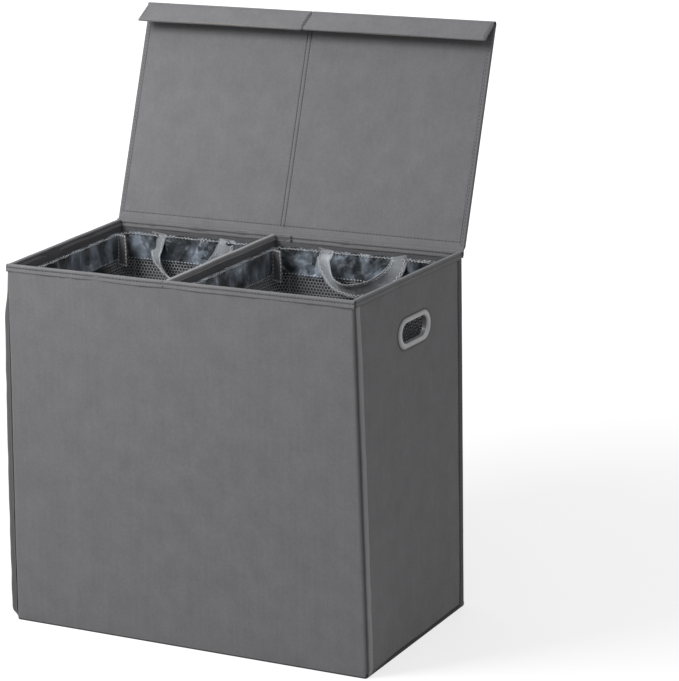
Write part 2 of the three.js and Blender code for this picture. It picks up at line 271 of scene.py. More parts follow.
def curve(points, count):
    """A smooth line through the points, as this many points evenly apart."""
    points = np.asarray(points, float)
    padded = np.vstack([2 * points[0] - points[1], points, 2 * points[-1] - points[-2]])
    fine = []
    for i in range(len(points) - 1):
        a, b, c, d = padded[i : i + 4]
        for t in np.linspace(0, 1, 12, endpoint=False):
            bend = (2 * a - 5 * b + 4 * c - d) * t**2 + (3 * b - a - 3 * c + d) * t**3
            fine.append(0.5 * (2 * b + (c - a) * t + bend))
    fine = np.array([*fine, points[-1]])
    travelled = np.concatenate([[0], np.cumsum(np.linalg.norm(np.diff(fine, axis=0), axis=1))])
    wanted = np.linspace(0, travelled[-1], count)
    return np.stack([np.interp(wanted, travelled, column) for column in fine.T], -1)


def grid_of(x, y, z):
    """A grid of points from coordinates that may each vary along either side."""
    return np.stack(np.broadcast_arrays(x, y, z), -1).astype(float)


def lean_in(points):
    """The box's top leans in at the front, so its front top edge is shorter than its back one."""
    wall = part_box("front_cover")
    height = np.clip(points[..., 2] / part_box("front_hem")[1].z, 0, 1)
    forward = np.clip((-wall[0].y - points[..., 1]) / (-2 * wall[0].y), 0, 1)
    moved = points.copy()
    moved[..., 0] *= 1 - settings("covers").pull_in / wall[1].x * forward * (smooth(height) + height) / 2
    return moved


def grid_normals(grid, around=False):
    """The way out of the grid's face at each point."""
    if around:
        along = np.roll(grid, -1, axis=0) - np.roll(grid, 1, axis=0)
    else:
        along = np.gradient(grid, axis=0)
    normal = np.cross(along, np.gradient(grid, axis=1))
    return normal / np.maximum(np.linalg.norm(normal, axis=-1, keepdims=True), 1e-12)


def quads_between(number):
    """The cells of a grid of point numbers."""
    return np.stack([number[:-1, :-1], number[1:, :-1], number[1:, 1:], number[:-1, 1:]], -1)


def layer_faces(rows, cols, keep=None, around=False):
    """Faces of a closed layer between two grids of points, whose points follow one another."""
    number = np.arange(rows * cols).reshape(rows, cols)
    if around:
        number = np.vstack([number, number[:1]])
    quads = quads_between(number)
    quads = quads.reshape(-1, 4) if keep is None else quads[keep]
    edges = np.concatenate([quads[:, [k, (k + 1) % 4]] for k in range(4)])
    below = rows * cols
    rim = edges[~np.isin(edges[:, 0] * below + edges[:, 1], edges[:, 1] * below + edges[:, 0])]
    rim = np.stack([rim[:, 1], rim[:, 0], rim[:, 0] + below, rim[:, 1] + below], -1)
    return np.concatenate([quads, quads[:, ::-1] + below, rim])


def turned_out(work, mesh):
    """Turns the faces outwards and writes them to the mesh."""
    bmesh.ops.recalc_face_normals(work, faces=work.faces)
    work.to_mesh(mesh)
    work.free()


def solid_mesh(name, points, faces):
    mesh = bpy.data.meshes.new(name)
    mesh.from_pydata(points.tolist(), [], faces)
    work = bmesh.new()
    work.from_mesh(mesh)
    turned_out(work, mesh)
    return mesh


def placed(name, data):
    made = bpy.data.objects.new(name, data)
    bpy.context.scene.collection.objects.link(made)
    return made


def finish_piece(name, mesh, node, material, sharp=50, rides=True, stands_for=True):
    """An object of the hamper that shows a CAD node, in its place if it stands for it."""
    mesh.shade_smooth()
    mesh.set_sharp_from_angle(angle=math.radians(sharp))
    mesh.materials.clear()
    mesh.materials.append(material)
    made = placed(name, mesh)
    if rides:
        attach(made, BODY_OF[node])
    if stands_for:
        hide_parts(node)
    return made


def piece(name, points, faces, node, material, crease=None, **more):
    """A finished piece of the points that the faces use."""
    used = np.unique(faces)
    again = np.full(len(points), -1)
    again[used] = np.arange(len(used))
    mesh = solid_mesh(name, points[used], again[faces].tolist())
    # The crease values are mostly painted shade, by which the materials darken the colour.
    if crease is not None:
        attribute = mesh.attributes.new("crease", "FLOAT", "POINT")
        attribute.data.foreach_set("value", np.asarray(crease, np.float32)[used])
    return finish_piece(name, mesh, node, material, **more)


def cloth(name, grid, thickness, node, material, crease=None, keep=None, around=False, lean=True, **more):
    """A closed layer of cloth that lies behind the grid's outer face."""
    rows, cols = grid.shape[:2]
    back = grid - grid_normals(grid, around) * thickness
    points = np.concatenate([grid.reshape(-1, 3), back.reshape(-1, 3)])
    if lean:
        points = lean_in(points)
    if crease is not None:
        crease = np.tile(np.broadcast_to(crease, (rows, cols)).ravel(), 2)
    return piece(name, points, layer_faces(rows, cols, keep, around), node, material, crease, **more)


SEAMS = {}
ZIGZAGS = {}


def seam(body, points, lean=True):
    """Remembers a row of stitches, to be sewn on that body at the end."""
    points = np.asarray(points, float)
    SEAMS.setdefault(body, []).append(lean_in(points) if lean else points)


# Materials


def node(tree, kind, inputs=None, **values):
    made = tree.nodes.new(kind)
    for key, value in values.items():
        setattr(made, key, value)
    for socket, value in (inputs or {}).items():
        if isinstance(value, bpy.types.NodeSocket):
            tree.links.new(value, made.inputs[socket])
        else:
            made.inputs[socket].default_value = value
    return made


def maths(tree, operation, first, *others):
    """The operation on the first two values, then on its result and each further one."""
    for other in others:
        first = node(tree, "ShaderNodeMath", {0: first, 1: other}, operation=operation).outputs[0]
    return first


def mixed(tree, factor, first, second, blend="MIX"):
    inputs = {0: factor, 6: first, 7: second}
    return node(tree, "ShaderNodeMix", inputs, data_type="RGBA", blend_type=blend).outputs[2]


def tinted(tree, colour, value):
    """The colour times the value."""
    grey = node(tree, "ShaderNodeCombineColor", {0: value, 1: value, 2: value}).outputs[0]
    return mixed(tree, 1.0, colour, grey, "MULTIPLY")


def ramped(tree, value, low, high, start=0.0, end=1.0):
    inputs = {"Value": value, "From Min": low, "From Max": high, "To Min": start, "To Max": end}
    return node(tree, "ShaderNodeMapRange", inputs).outputs[0]


def noise(tree, vector, scale, detail=2.0, rough=0.5, output="Fac"):
    inputs = {"Vector": vector, "Scale": scale, "Detail": detail, "Roughness": rough}
    return node(tree, "ShaderNodeTexNoise", inputs).outputs[output]


def cells(tree, vector, scale, feature="F1", output="Distance"):
    inputs = {"Vector": vector, "Scale": scale}
    return node(tree, "ShaderNodeTexVoronoi", inputs, feature=feature).outputs[output]


def stretched(tree, vector, scale):
    return node(tree, "ShaderNodeMapping", {"Vector": vector, "Scale": scale}).outputs[0]


def effect(name, inputs, outputs):
    """A shader node group with these named inputs and outputs."""
    tree = bpy.data.node_groups.new(name, "ShaderNodeTree")
    for socket, kind, default in inputs:
        made = tree.interface.new_socket(socket, in_out="INPUT", socket_type=f"NodeSocket{kind}")
        if default is not None:
            made.default_value = default
    for socket, kind in outputs:
        tree.interface.new_socket(socket, in_out="OUTPUT", socket_type=f"NodeSocket{kind}")
    return tree, tree.nodes.new("NodeGroupInput").outputs, tree.nodes.new("NodeGroupOutput").inputs


def fibre_effect():
    """Pressed fibres: soft mottling, faint upright streaks, and a height for the fibres and pressed dots."""
    tree, given, out = effect(
        "Pressed Fibres",
        [
            ("Vector", "Vector", None), ("Colour", "Color", None),
            ("Mottle", "Float", 0.12), ("Streak", "Float", 0.05),
        ],
        [("Colour", "Color"), ("Height", "Float")],
    )
    place = given["Vector"]
    broad = noise(tree, place, 22.0, 4.0, 0.6)
    fine = noise(tree, place, 260.0, 3.0, 0.65)
    streaks = noise(tree, stretched(tree, place, (1, 1, 0.06)), 130.0, 3.0, 0.6)
    changes = [
        maths(tree, "MULTIPLY", maths(tree, "SUBTRACT", pattern, 0.5), given[amount])
        for pattern, amount in ((broad, "Mottle"), (fine, "Mottle"), (streaks, "Streak"))
    ]
    total = maths(tree, "ADD", *changes, 1.0)
    tree.links.new(tinted(tree, given["Colour"], total), out["Colour"])
    dots = ramped(tree, cells(tree, place, 640.0), 0.0, 0.5)
    fibres = noise(tree, place, 900.0, 4.0, 0.7)
    tree.links.new(maths(tree, "ADD", maths(tree, "MULTIPLY", dots, 0.5), fibres), out["Height"])
    return tree


def crinkle_effect():
    """Thin coated nylon: sharp little creases between softer folds, and a colour with painted light: bright and
    dark blotches for light and shade on its folds, painted glints, and crumpled cells painted lighter or darker.
    """
    tree, given, out = effect(
        "Crinkled Nylon",
        [("Vector", "Vector", None), ("Colour", "Color", None), ("Contrast", "Float", 1.0)],
        [("Colour", "Color"), ("Height", "Float"), ("Gloss", "Float")],
    )
    place = given["Vector"]
    bend = {0: noise(tree, place, 30.0, 3.0, output="Color"), 1: (0.03, 0.03, 0.03), 2: place}
    bent = node(tree, "ShaderNodeVectorMath", bend, operation="MULTIPLY_ADD").outputs[0]
    large = cells(tree, bent, 48.0, "SMOOTH_F1")
    small = cells(tree, bent, 120.0)
    weave = noise(tree, place, 1500.0)
    height = maths(
        tree, "ADD", large, maths(tree, "MULTIPLY", small, 0.35), maths(tree, "MULTIPLY", weave, 0.02)
    )
    tree.links.new(height, out["Height"])
    # Painted light: bright and dark blotches for light and shade on the folds, painted glints, and crumpled cells
    # painted lighter or darker, all scaled by one input.
    upright = stretched(tree, place, (1, 1, 0.55))
    painted_fold_light = ramped(tree, noise(tree, upright, 24.0, 3.0, 0.55), 0.41, 0.6, 0.26, 2.2)
    glint = ramped(tree, noise(tree, bent, 75.0), 0.56, 0.7, 1.0, 1.7)
    painted_facet_light = cells(tree, stretched(tree, bent, (1, 1, 0.5)), 44.0, output="Color")
    painted_facet_light = node(tree, "ShaderNodeSeparateColor", {0: painted_facet_light}).outputs[0]
    painted_fold_light = maths(tree, "MULTIPLY", painted_fold_light, glint, ramped(tree, painted_facet_light, 0, 1, 0.45, 1.6))
    change = maths(tree, "MULTIPLY", maths(tree, "SUBTRACT", painted_fold_light, 1.0), given["Contrast"])
    tree.links.new(tinted(tree, given["Colour"], maths(tree, "ADD", change, 1.0)), out["Colour"])
    tree.links.new(ramped(tree, small, 0.0, 0.6, 0.22, 0.4), out["Gloss"])
    return tree


def painted_shade_effect():
    """Painted shade: darkens a colour by the mesh's own crease values, which most pieces set where shade falls in
    seams, grooves and gaps.
    """
    tree, given, out = effect(
        "Seam Shade", [("Colour", "Color", None), ("Depth", "Float", 0.8)], [("Colour", "Color")]
    )
    drawn = node(tree, "ShaderNodeAttribute", attribute_name="crease").outputs["Fac"]
    amount = maths(tree, "MULTIPLY", drawn, given["Depth"])
    dark = mixed(tree, 1.0, given["Colour"], (0.12, 0.12, 0.12, 1), "MULTIPLY")
    tree.links.new(mixed(tree, amount, given["Colour"], dark), out["Colour"])
    return tree


EFFECTS = {}
MATERIALS = {}


def applied(tree, name, inputs):
    """Places one of the shared effects in a material."""
    builders = {"fibres": fibre_effect, "crinkle": crinkle_effect, "crease": painted_shade_effect}
    if name not in EFFECTS:
        EFFECTS[name] = builders[name]()
    return node(tree, "ShaderNodeGroup", inputs, node_tree=EFFECTS[name]).outputs


def blank(name, values=None):
    """A new material with these uniform values on its shader."""
    made = bpy.data.materials.new(name)
    made.use_nodes = True
    tree = made.node_tree
    shader = tree.nodes["Principled BSDF"]
    for socket, value in (values or {}).items():
        shader.inputs[socket].default_value = value
    return made, tree, shader, tree.nodes.new("ShaderNodeTexCoord").outputs["Object"]


def shown(tree, shader, colour, roughness, height, strength, distance, with_painted_shade=True):
    """Gives the shader its colour, with painted shade from the mesh's crease values unless that is turned off, and
    its roughness and relief.
    """
    if with_painted_shade:
        colour = applied(tree, "crease", {"Colour": colour})["Colour"]
    tree.links.new(colour, shader.inputs["Base Color"])
    tree.links.new(roughness, shader.inputs["Roughness"])
    inputs = {"Height": height, "Strength": strength, "Distance": distance}
    tree.links.new(node(tree, "ShaderNodeBump", inputs).outputs[0], shader.inputs["Normal"])


def pressed_cloth(name, base, mottle, streak):
    """Matt cloth of pressed fibres."""
    values = {"Sheen Weight": 0.12, "Sheen Roughness": 0.5, "Specular IOR Level": 0.25}
    made, tree, shader, place = blank(name, values)
    inputs = {"Vector": place, "Colour": (*base, 1), "Mottle": mottle, "Streak": streak}
    fibres = applied(tree, "fibres", inputs)
    rough = ramped(tree, fibres["Height"], 0.3, 1.1, 0.96, 0.84)
    shown(tree, shader, fibres["Colour"], rough, fibres["Height"], 0.5, 0.3 * MM)
    return made


def nylon_cloth(name, base, depth, shine, painted_light, matt):
    """Thin coated cloth with creases this deep, and this much painted light on its folds."""
    made, tree, shader, place = blank(name, {"Specular IOR Level": shine, "Sheen Weight": 0.1})
    crinkle = applied(tree, "crinkle", {"Vector": place, "Colour": (*base, 1), "Contrast": painted_light})
    rough = maths(tree, "ADD", crinkle["Gloss"], matt)
    shown(tree, shader, crinkle["Colour"], rough, crinkle["Height"], 0.7, depth)
    return made


def shade_behind_holes(tree, place):
    """Painted shade for the net: 1 in the open, low deep in the bins and just behind the side walls' hand holes.
    """
    low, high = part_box("right_grommet_outer")
    centre = (low + high) / 2
    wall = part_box("right_cover")[1].x
    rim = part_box("front_hem")[1].z
    across, beside, above = node(tree, "ShaderNodeSeparateXYZ", {0: place}).outputs
    beside = maths(tree, "DIVIDE", maths(tree, "SUBTRACT", beside, centre.y), high.y - centre.y)
    level = maths(tree, "DIVIDE", maths(tree, "SUBTRACT", above, centre.z), high.z - centre.z)
    reach = maths(tree, "ADD", maths(tree, "POWER", beside, 2), maths(tree, "POWER", level, 2))
    outward = maths(tree, "ABSOLUTE", across, 0)
    outward = ramped(tree, outward, wall - 45 * MM, wall - 25 * MM)
    behind = maths(tree, "MULTIPLY", ramped(tree, reach, 2.4, 4.6, 1.0, 0.0), outward)
    # Painted shade: the net darker deep in the bins.
    deep = ramped(tree, above, rim - 145 * MM, rim - 105 * MM, 0.3, 1.0)
    return maths(tree, "MULTIPLY", deep, ramped(tree, behind, 0.0, 1.0, 1.0, 0.03))


def twisted_thread(name, base, shaded=False):
    """Plain thread, which may have painted shade deep in the bins and behind the hand holes."""
    made, tree, shader, place = blank(name, {"Specular IOR Level": 0.2})
    fibres = noise(tree, place, 2200.0, 2.0, 0.6)
    shade = ramped(tree, fibres, 0.3, 0.7, 0.75, 1.25)
    if shaded:
        shade = maths(tree, "MULTIPLY", shade, shade_behind_holes(tree, place))
    rough = ramped(tree, fibres, 0.3, 0.7, 0.55, 0.75)
    shown(tree, shader, tinted(tree, (*base, 1), shade), rough, fibres, 0.3, 0.1 * MM, with_painted_shade=False)
    return made


def satin_plastic(name, base):
    """Moulded plastic with a fine grain."""
    made, tree, shader, place = blank(name)
    grain = noise(tree, place, 1400.0, 3.0, 0.6)
    cloud = noise(tree, place, 60.0)
    colour = tinted(tree, (*base, 1), ramped(tree, cloud, 0.3, 0.7, 0.92, 1.08))
    shown(tree, shader, colour, ramped(tree, cloud, 0.3, 0.7, 0.3, 0.4), grain, 0.15, 0.08 * MM)
    return made


def loop_tape(name, base):
    """Hook-and-loop tape: a fuzzy pile in close rows."""
    made, tree, shader, place = blank(name, {"Sheen Weight": 0.3})
    pile = noise(tree, place, 1100.0, 4.0, 0.75)
    inputs = {"Vector": place, "Scale": 260.0, "Distortion": 3.0}
    rows = node(tree, "ShaderNodeTexWave", inputs, bands_direction="Z").outputs["Fac"]
    height = maths(tree, "ADD", pile, maths(tree, "MULTIPLY", rows, 0.4))
    colour = tinted(tree, (*base, 1), ramped(tree, height, 0.3, 1.1, 0.6, 1.5))
    shown(tree, shader, colour, ramped(tree, height, 0.3, 1.1, 0.98, 0.85), height, 0.8, 0.6 * MM)
    return made


def pressed_board(name, base):
    """Grey-brown board: long pressed fibres and darker specks."""
    made, tree, shader, place = blank(name)
    fibres = noise(tree, stretched(tree, place, (0.15, 1, 1)), 500.0, 4.0, 0.7)
    specks = ramped(tree, noise(tree, place, 700.0), 0.62, 0.72, 1.0, 0.7)
    shade = maths(tree, "MULTIPLY", ramped(tree, fibres, 0.3, 0.7, 0.85, 1.12), specks)
    rough = ramped(tree, fibres, 0.3, 0.7, 0.97, 0.88)
    shown(tree, shader, tinted(tree, (*base, 1), shade), rough, fibres, 0.3, 0.2 * MM, with_painted_shade=False)
    return made


def finish(name):
    """The hamper's finishes, each made once."""
    if name not in MATERIALS:
        tones = settings("colours")
        builders = {
            "cover": lambda: pressed_cloth("Cover cloth", tones.cover, 0.34, 0.16),
            "trim": lambda: pressed_cloth("Trim cloth", tones.trim, 0.12, 0.04),
            "binding": lambda: pressed_cloth("Binding cloth", tones.binding, 0.2, 0.05),
            "lining": lambda: pressed_cloth("Lining cloth", tones.lining, 0.5, 0.1),
            "board": lambda: pressed_board("Pressed board", tones.board),
            "plastic": lambda: satin_plastic("Grommet plastic", tones.plastic),
            # The straps get far less painted light on their folds than the cuffs.
            "nylon": lambda: nylon_cloth("Liner nylon", tones.nylon, 4 * MM, 0.7, 1.0, 0.0),
            "strap": lambda: nylon_cloth("Strap nylon", tones.strap, 1.5 * MM, 0.4, 0.16, 0.12),
            "net": lambda: twisted_thread("Net thread", tones.net, shaded=True),
            "tab": lambda: loop_tape("Loop tape", tones.tab),
            "dark_thread": lambda: twisted_thread("Dark thread", tones.dark_thread),
            "light_thread": lambda: twisted_thread("Light thread", tones.light_thread),
        }
        MATERIALS[name] = builders[name]()
    return MATERIALS[name]


# Geometry Nodes


def thread_tree(name, sockets):
    """A new Geometry Nodes tree with these named inputs."""
    tree = bpy.data.node_groups.new(name, "GeometryNodeTree")
    for socket, kind in [("Geometry", "Geometry"), *sockets]:
        tree.interface.new_socket(socket, in_out="INPUT", socket_type=f"NodeSocket{kind}")
    tree.interface.new_socket("Geometry", in_out="OUTPUT", socket_type="NodeSocketGeometry")
    return tree, tree.nodes.new("NodeGroupInput").outputs, tree.nodes.new("NodeGroupOutput").inputs


def closed_tree(tree, geometry, material, out):
    """Ends a tree in real geometry with its material."""
    real = node(tree, "GeometryNodeRealizeInstances", {0: geometry}).outputs[0]
    painted = node(tree, "GeometryNodeSetMaterial", {"Geometry": real, "Material": material})
    tree.links.new(painted.outputs[0], out["Geometry"])
    return tree


def stitch_tree():
    """A row of sunken stitches along each line of the mesh."""
    tree, given, out = thread_tree(
        "Stitches",
        [("Pitch", "Float"), ("Stitch", "Float"), ("Thread Radius", "Float"), ("Thread", "Material")],
    )
    line = node(tree, "GeometryNodeMeshToCurve", {0: given["Geometry"]}).outputs[0]
    inputs = {"Curve": line, "Length": given["Pitch"]}
    spread = node(tree, "GeometryNodeResampleCurve", inputs, mode="LENGTH").outputs[0]
    bead = node(tree, "GeometryNodeMeshUVSphere", {"Segments": 6, "Rings": 4, "Radius": 1.0})
    radius = given["Thread Radius"]
    inputs = {0: maths(tree, "MULTIPLY", given["Stitch"], 0.5), 1: radius, 2: radius}
    size = node(tree, "ShaderNodeCombineXYZ", inputs).outputs[0]
    inputs = {"Geometry": bead.outputs["Mesh"], "Scale": size}
    stitch = node(tree, "GeometryNodeTransform", inputs).outputs[0]
    tangent = tree.nodes.new("GeometryNodeInputTangent").outputs[0]
    turn = node(tree, "FunctionNodeAlignRotationToVector", {"Vector": tangent}, axis="X").outputs[0]
    inputs = {"Points": spread, "Instance": stitch, "Rotation": turn}
    sewn = node(tree, "GeometryNodeInstanceOnPoints", inputs).outputs[0]
    return closed_tree(tree, sewn, given["Thread"], out)


def strand_tree(dual):
    """A thin three-sided thread along each line of the mesh, or of the net that its triangles stand for."""
    tree, given, out = thread_tree(
        "Net" if dual else "Zigzag thread", [("Thread Radius", "Float"), ("Thread", "Material")]
    )
    lines = given["Geometry"]
    if dual:
        lines = node(tree, "GeometryNodeDualMesh", {"Mesh": lines, "Keep Boundaries": True}).outputs[0]
    line = node(tree, "GeometryNodeMeshToCurve", {0: lines}).outputs[0]
    inputs = {"Resolution": 3, "Radius": given["Thread Radius"]}
    ring = node(tree, "GeometryNodeCurvePrimitiveCircle", inputs, mode="RADIUS").outputs["Curve"]
    inputs = {"Curve": line, "Profile Curve": ring, "Fill Caps": True}
    strand = node(tree, "GeometryNodeCurveToMesh", inputs).outputs[0]
    return closed_tree(tree, strand, given["Thread"], out)


TREES = {}


def grown(mesh, tree_name, values):
    """The plain mesh that a Geometry Nodes tree makes of a mesh."""
    builders = {
        "stitches": stitch_tree,
        "net": lambda: strand_tree(True),
        "zigzag": lambda: strand_tree(False),
    }
    if tree_name not in TREES:
        TREES[tree_name] = builders[tree_name]()
    tree = TREES[tree_name]
    holder = placed("holder", mesh)
    modifier = holder.modifiers.new("Threads", "NODES")
    modifier.node_group = tree
    for item in tree.interface.items_tree:
        if item.item_type == "SOCKET" and item.in_out == "INPUT" and item.name in values:
            modifier[item.identifier] = values[item.name]
    depsgraph = bpy.context.evaluated_depsgraph_get()
    made = bpy.data.meshes.new_from_object(holder.evaluated_get(depsgraph), depsgraph=depsgraph)
    holder.modifiers.clear()
    bpy.data.objects.remove(holder)
    return made


def line_mesh(lines):
    """A mesh of bare lines through the points."""
    edges = []
    start = 0
    for line in lines:
        edges += [(start + i, start + i + 1) for i in range(len(line) - 1)]
        start += len(line)
    mesh = bpy.data.meshes.new("lines")
    mesh.from_pydata(np.concatenate(lines).tolist(), edges, [])
    return mesh


def thread_piece(name, mesh, body, material):
    """An object of thread that rides on the body."""
    mesh.materials.clear()
    mesh.materials.append(material)
    mesh.shade_smooth()
    made = placed(name, mesh)
    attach(made, body)
    return made


# Walls


def side_swell(side, y, z):
    """How far a side's cloth stands out: most just behind the front corner, nothing at the grommet."""
    covers = settings("covers")
    turn = 13 * MM
    crest = 16 * MM
    back_slope = 105 * MM
    top_slope = 85 * MM
    long_slope = 300 * MM
    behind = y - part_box("front_cover")[0].y
    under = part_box("front_hem")[0].z - z
    most = covers.left_swell if side < 0 else covers.right_swell
    rise = smooth((behind + 2 * MM) / turn) * smooth((z - 1 * MM) / turn)
    fall = (1 - smooth((behind - crest) / back_slope)) * smooth(under / top_slope)
    return most * rise * fall * (0.8 + 0.2 * smooth(under / long_slope))


def slot_distance(y, z, inset_y=9 * MM, inset_z=5 * MM):
    """Signed distance from the edge of a side wall's hand hole, which lies inset from its ring's edge."""
    low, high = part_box("right_grommet_outer")
    centre = (low + high) / 2
    height_half = (high.z - low.z) / 2 - inset_z
    reach = (high.y - low.y) / 2 - inset_y - height_half
    beside = np.maximum(np.abs(y - centre.y) - reach, 0)
    return np.hypot(beside, z - centre.z) - height_half


def hole_cells(y, z):
    """Which cells of a grid over y and z lie outside the hand hole."""
    return slot_distance((y[:-1, None] + y[1:, None]) / 2, (z[None, :-1] + z[None, 1:]) / 2) > 0


def end_cover(name, side):
    """The front or back cloth, whose upright edges turn the corners."""
    covers = settings("covers")
    low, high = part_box(f"{name}_cover")
    outer = max(abs(low.y), abs(high.y))
    radius = covers.corner_radius
    flat = high.x - radius
    quarter = radius * math.pi / 2
    overlap = 1.5 * MM
    reach = flat + quarter + overlap
    across = edged(-reach, reach, covers.step, 9 * MM)[:, None]
    z = edged(low.z, high.z, covers.step, 8 * MM)[None, :]
    past = np.abs(across) - flat
    turn = np.clip(past / radius, 0, math.pi / 2)
    x = np.sign(across) * (np.minimum(np.abs(across), flat) + radius * np.sin(turn))
    sink = radius * (1 - np.cos(turn)) + np.maximum(past - quarter, 0)
    place = grid_of(x, 0, z)
    swell = covers.unevenness * waves(place, 0.11, 11 + side) + 0.12 * MM * waves(place, 0.03, 12)
    pucker = 0.3 * MM * waves(place * (1, 1, 0.2), 0.02, 13) * smooth(1 - (high.z - z) / (45 * MM))
    middle = 1.2 * MM * (1 - (x / high.x) ** 2) * np.sin(np.pi * np.clip(z / high.z, 0, 1))
    out = (swell + pucker + middle + 0.3 * MM) * np.cos(turn) * smooth((z - low.z) / (12 * MM))
    # Painted shade in the groove where the cloth turns each corner, weaker at the left front corner, and a painted
    # shadow line along the foot.
    crease = smooth((past - 0.75 * quarter) / (0.4 * quarter))
    if side < 0:
        crease = crease * np.where(across < 0, covers.left_groove, 1)
    crease = np.maximum(crease, 0.8 * smooth(1 - (z - low.z) / (1.5 * MM)))
    grid = grid_of(x, side * (outer - sink + out), z)
    cloth(f"{name}_cover_cloth", grid, CLOTH * -side, f"{name}_cover", finish("cover"), crease)


def side_cover(name, side):
    """A side's cloth, with closer points round its hand hole."""
    covers = settings("covers")
    low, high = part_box(f"{name}_cover")
    ring_low, ring_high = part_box(f"{name}_grommet_outer")
    margin = 6 * MM
    fine_step = 2 * MM
    y = edged(low.y, high.y, covers.step, 10 * MM)
    z = edged(low.z, high.z, covers.step, 10 * MM)
    y = closer(y, ring_low.y - margin, ring_high.y + margin, fine_step)
    z = closer(z, ring_low.z - margin, ring_high.z + margin, fine_step)
    keep = hole_cells(y, z)
    y = y[:, None]
    z = z[None, :]
    place = grid_of(0, y, z)
    calm = smooth(slot_distance(y, z) / (40 * MM) - 0.35)
    swell = covers.unevenness * waves(place, 0.12, 21 + side) + 0.12 * MM * waves(place, 0.03, 22)
    out = side_swell(side, y, z) + (swell + 0.3 * MM) * calm
    # Painted shade along the foot, and a painted shadow round the hand hole's ring.
    crease = 0.7 * smooth(1 - (z - low.z) / (9 * MM))
    crease = np.maximum(crease, 0.85 * bell(slot_distance(y, z, 0, 0) - 0.3 * MM, 2.2 * MM))
    grid = grid_of(side * (max(abs(low.x), abs(high.x)) + out), y, z)
    thickness = (high.x - low.x) * side
    cloth(f"{name}_cover_cloth", grid, thickness, f"{name}_cover", finish("cover"), crease, keep)


# Across a corner's band: shares of its width and of its height
BAND_SHARES = (
    (0.0, -0.5), (0.06, -0.45), (0.14, 0.0), (0.22, 0.75), (0.34, 1.0), (0.5, 0.92),
    (0.66, 0.9), (0.8, 1.0), (0.9, 0.7), (0.97, 0.2), (1.0, -0.3),
)


def corner_seam(end_name, side_name, end, side):
    """A sewn band on the side wall, beside a groove at the corner."""
    covers = settings("covers")
    node_name = f"{end_name}_{side_name}_seam"
    low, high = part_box(node_name)
    left_front = end < 0 and side < 0
    start = covers.left_seam_start if left_front else covers.seam_start
    across, tall = curve(BAND_SHARES, 25).T
    z = spaced(low.z, high.z, 5 * MM)[:, None]
    place = grid_of(0, 0, z)
    wander = 0.5 * MM * (waves(place, 0.05, 31 + 2 * end + side) + waves(place, 0.16, 35))
    flare = 1.2 * MM * smooth(1 - z / (70 * MM))
    inwards = start + (covers.seam_width + flare) * across + 0.6 * wander
    y = end * (max(abs(low.y), abs(high.y)) - inwards)
    puff = 1 + 0.25 * waves(place, 0.04, 37 + side)
    fade = smooth((z - low.z) / (12 * MM) + 0.35)
    face = min(abs(low.x), abs(high.x)) - 0.3 * MM
    out = covers.seam_height * tall * puff * fade + side_swell(side, y, z)
    grid = grid_of(side * (face + out), y, z)
    # Painted shade across the band: in the groove and at its far edge; the back bands are shaded all over, and the
    # left front band by its own setting.
    dark = np.interp(across, [0, 0.12, 0.22, 0.8, 0.9, 1.0], [1, 1, 0.1, 0, 0.6, 1])
    if end > 0:
        dark = np.ones_like(dark)
    elif left_front:
        dark = np.maximum(dark * (across > 0.5), covers.left_band)
    cloth(f"{node_name}_band", grid, CLOTH * side * end, node_name, finish("binding"), dark)
    stitch_share = 0.93
    seam("shell", grid[2:-1, nearest(across, stitch_share)] - (side * 2 * SUNK, 0, 0))


def lining(name, side):
    """A wall's dark cloth inside the bins."""
    low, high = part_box(f"{name}_lining")
    step = 1.6 * settings("covers").step
    margin = 10 * MM
    z = edged(low.z, high.z, step, margin)
    if name in ("left", "right"):
        y = edged(low.y, high.y, step, margin)
        keep = hole_cells(y, z)
        y = y[:, None]
        calm = smooth(slot_distance(y, z) / (30 * MM) - 0.3)
        soft = 0.8 * MM * calm * (0.6 + waves(grid_of(0, y, z), 0.07, 41))
        grid = grid_of(side * (min(abs(low.x), abs(high.x)) - soft), y, z)
        thickness = -side * (high.x - low.x)
    else:
        keep = None
        x = edged(low.x + 6 * MM, high.x - 6 * MM, step, margin)[:, None]
        soft = 0.9 * MM * (0.6 + waves(grid_of(x, 0, z), 0.07, 42))
        grid = grid_of(x, side * (min(abs(low.y), abs(high.y)) - soft), z)
        thickness = side * (high.y - low.y)
    cloth(f"{name}_lining_cloth", grid, thickness, f"{name}_lining", finish("lining"), keep=keep)


def divider_cover(name, side):
    """The dividing wall's cloth on one side, with a fold that stands up."""
    node_name = f"divider_{name}_cover"
    low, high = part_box(node_name)
    ridge_y = 95 * MM
    ridge_z = 300 * MM
    ridge_lean = 0.06
    step = 0.8 * settings("covers").step
    y = edged(low.y, high.y, step, 8 * MM)[:, None]
    z = edged(low.z, high.z, step, 8 * MM)
    place = grid_of(0, y, z)
    folds = waves(place * (1, 1, 0.35), 0.07, 51 + side) + 0.5 * waves(place, 0.035, 52 + side)
    ridge = bell(y - ridge_y + ridge_lean * (z - ridge_z), 5 * MM)
    calm = smooth((high.z - z) / (25 * MM)) * smooth((z - low.z) / (30 * MM))
    out = (1.3 * MM * (folds + 0.7) + 1.6 * MM * ridge) * calm
    face = low.x if side < 0 else high.x
    grid = grid_of(face + side * np.maximum(out, 0), y, z)
    cloth(f"{node_name}_cloth", grid, (high.x - low.x) * side, node_name, finish("lining"))


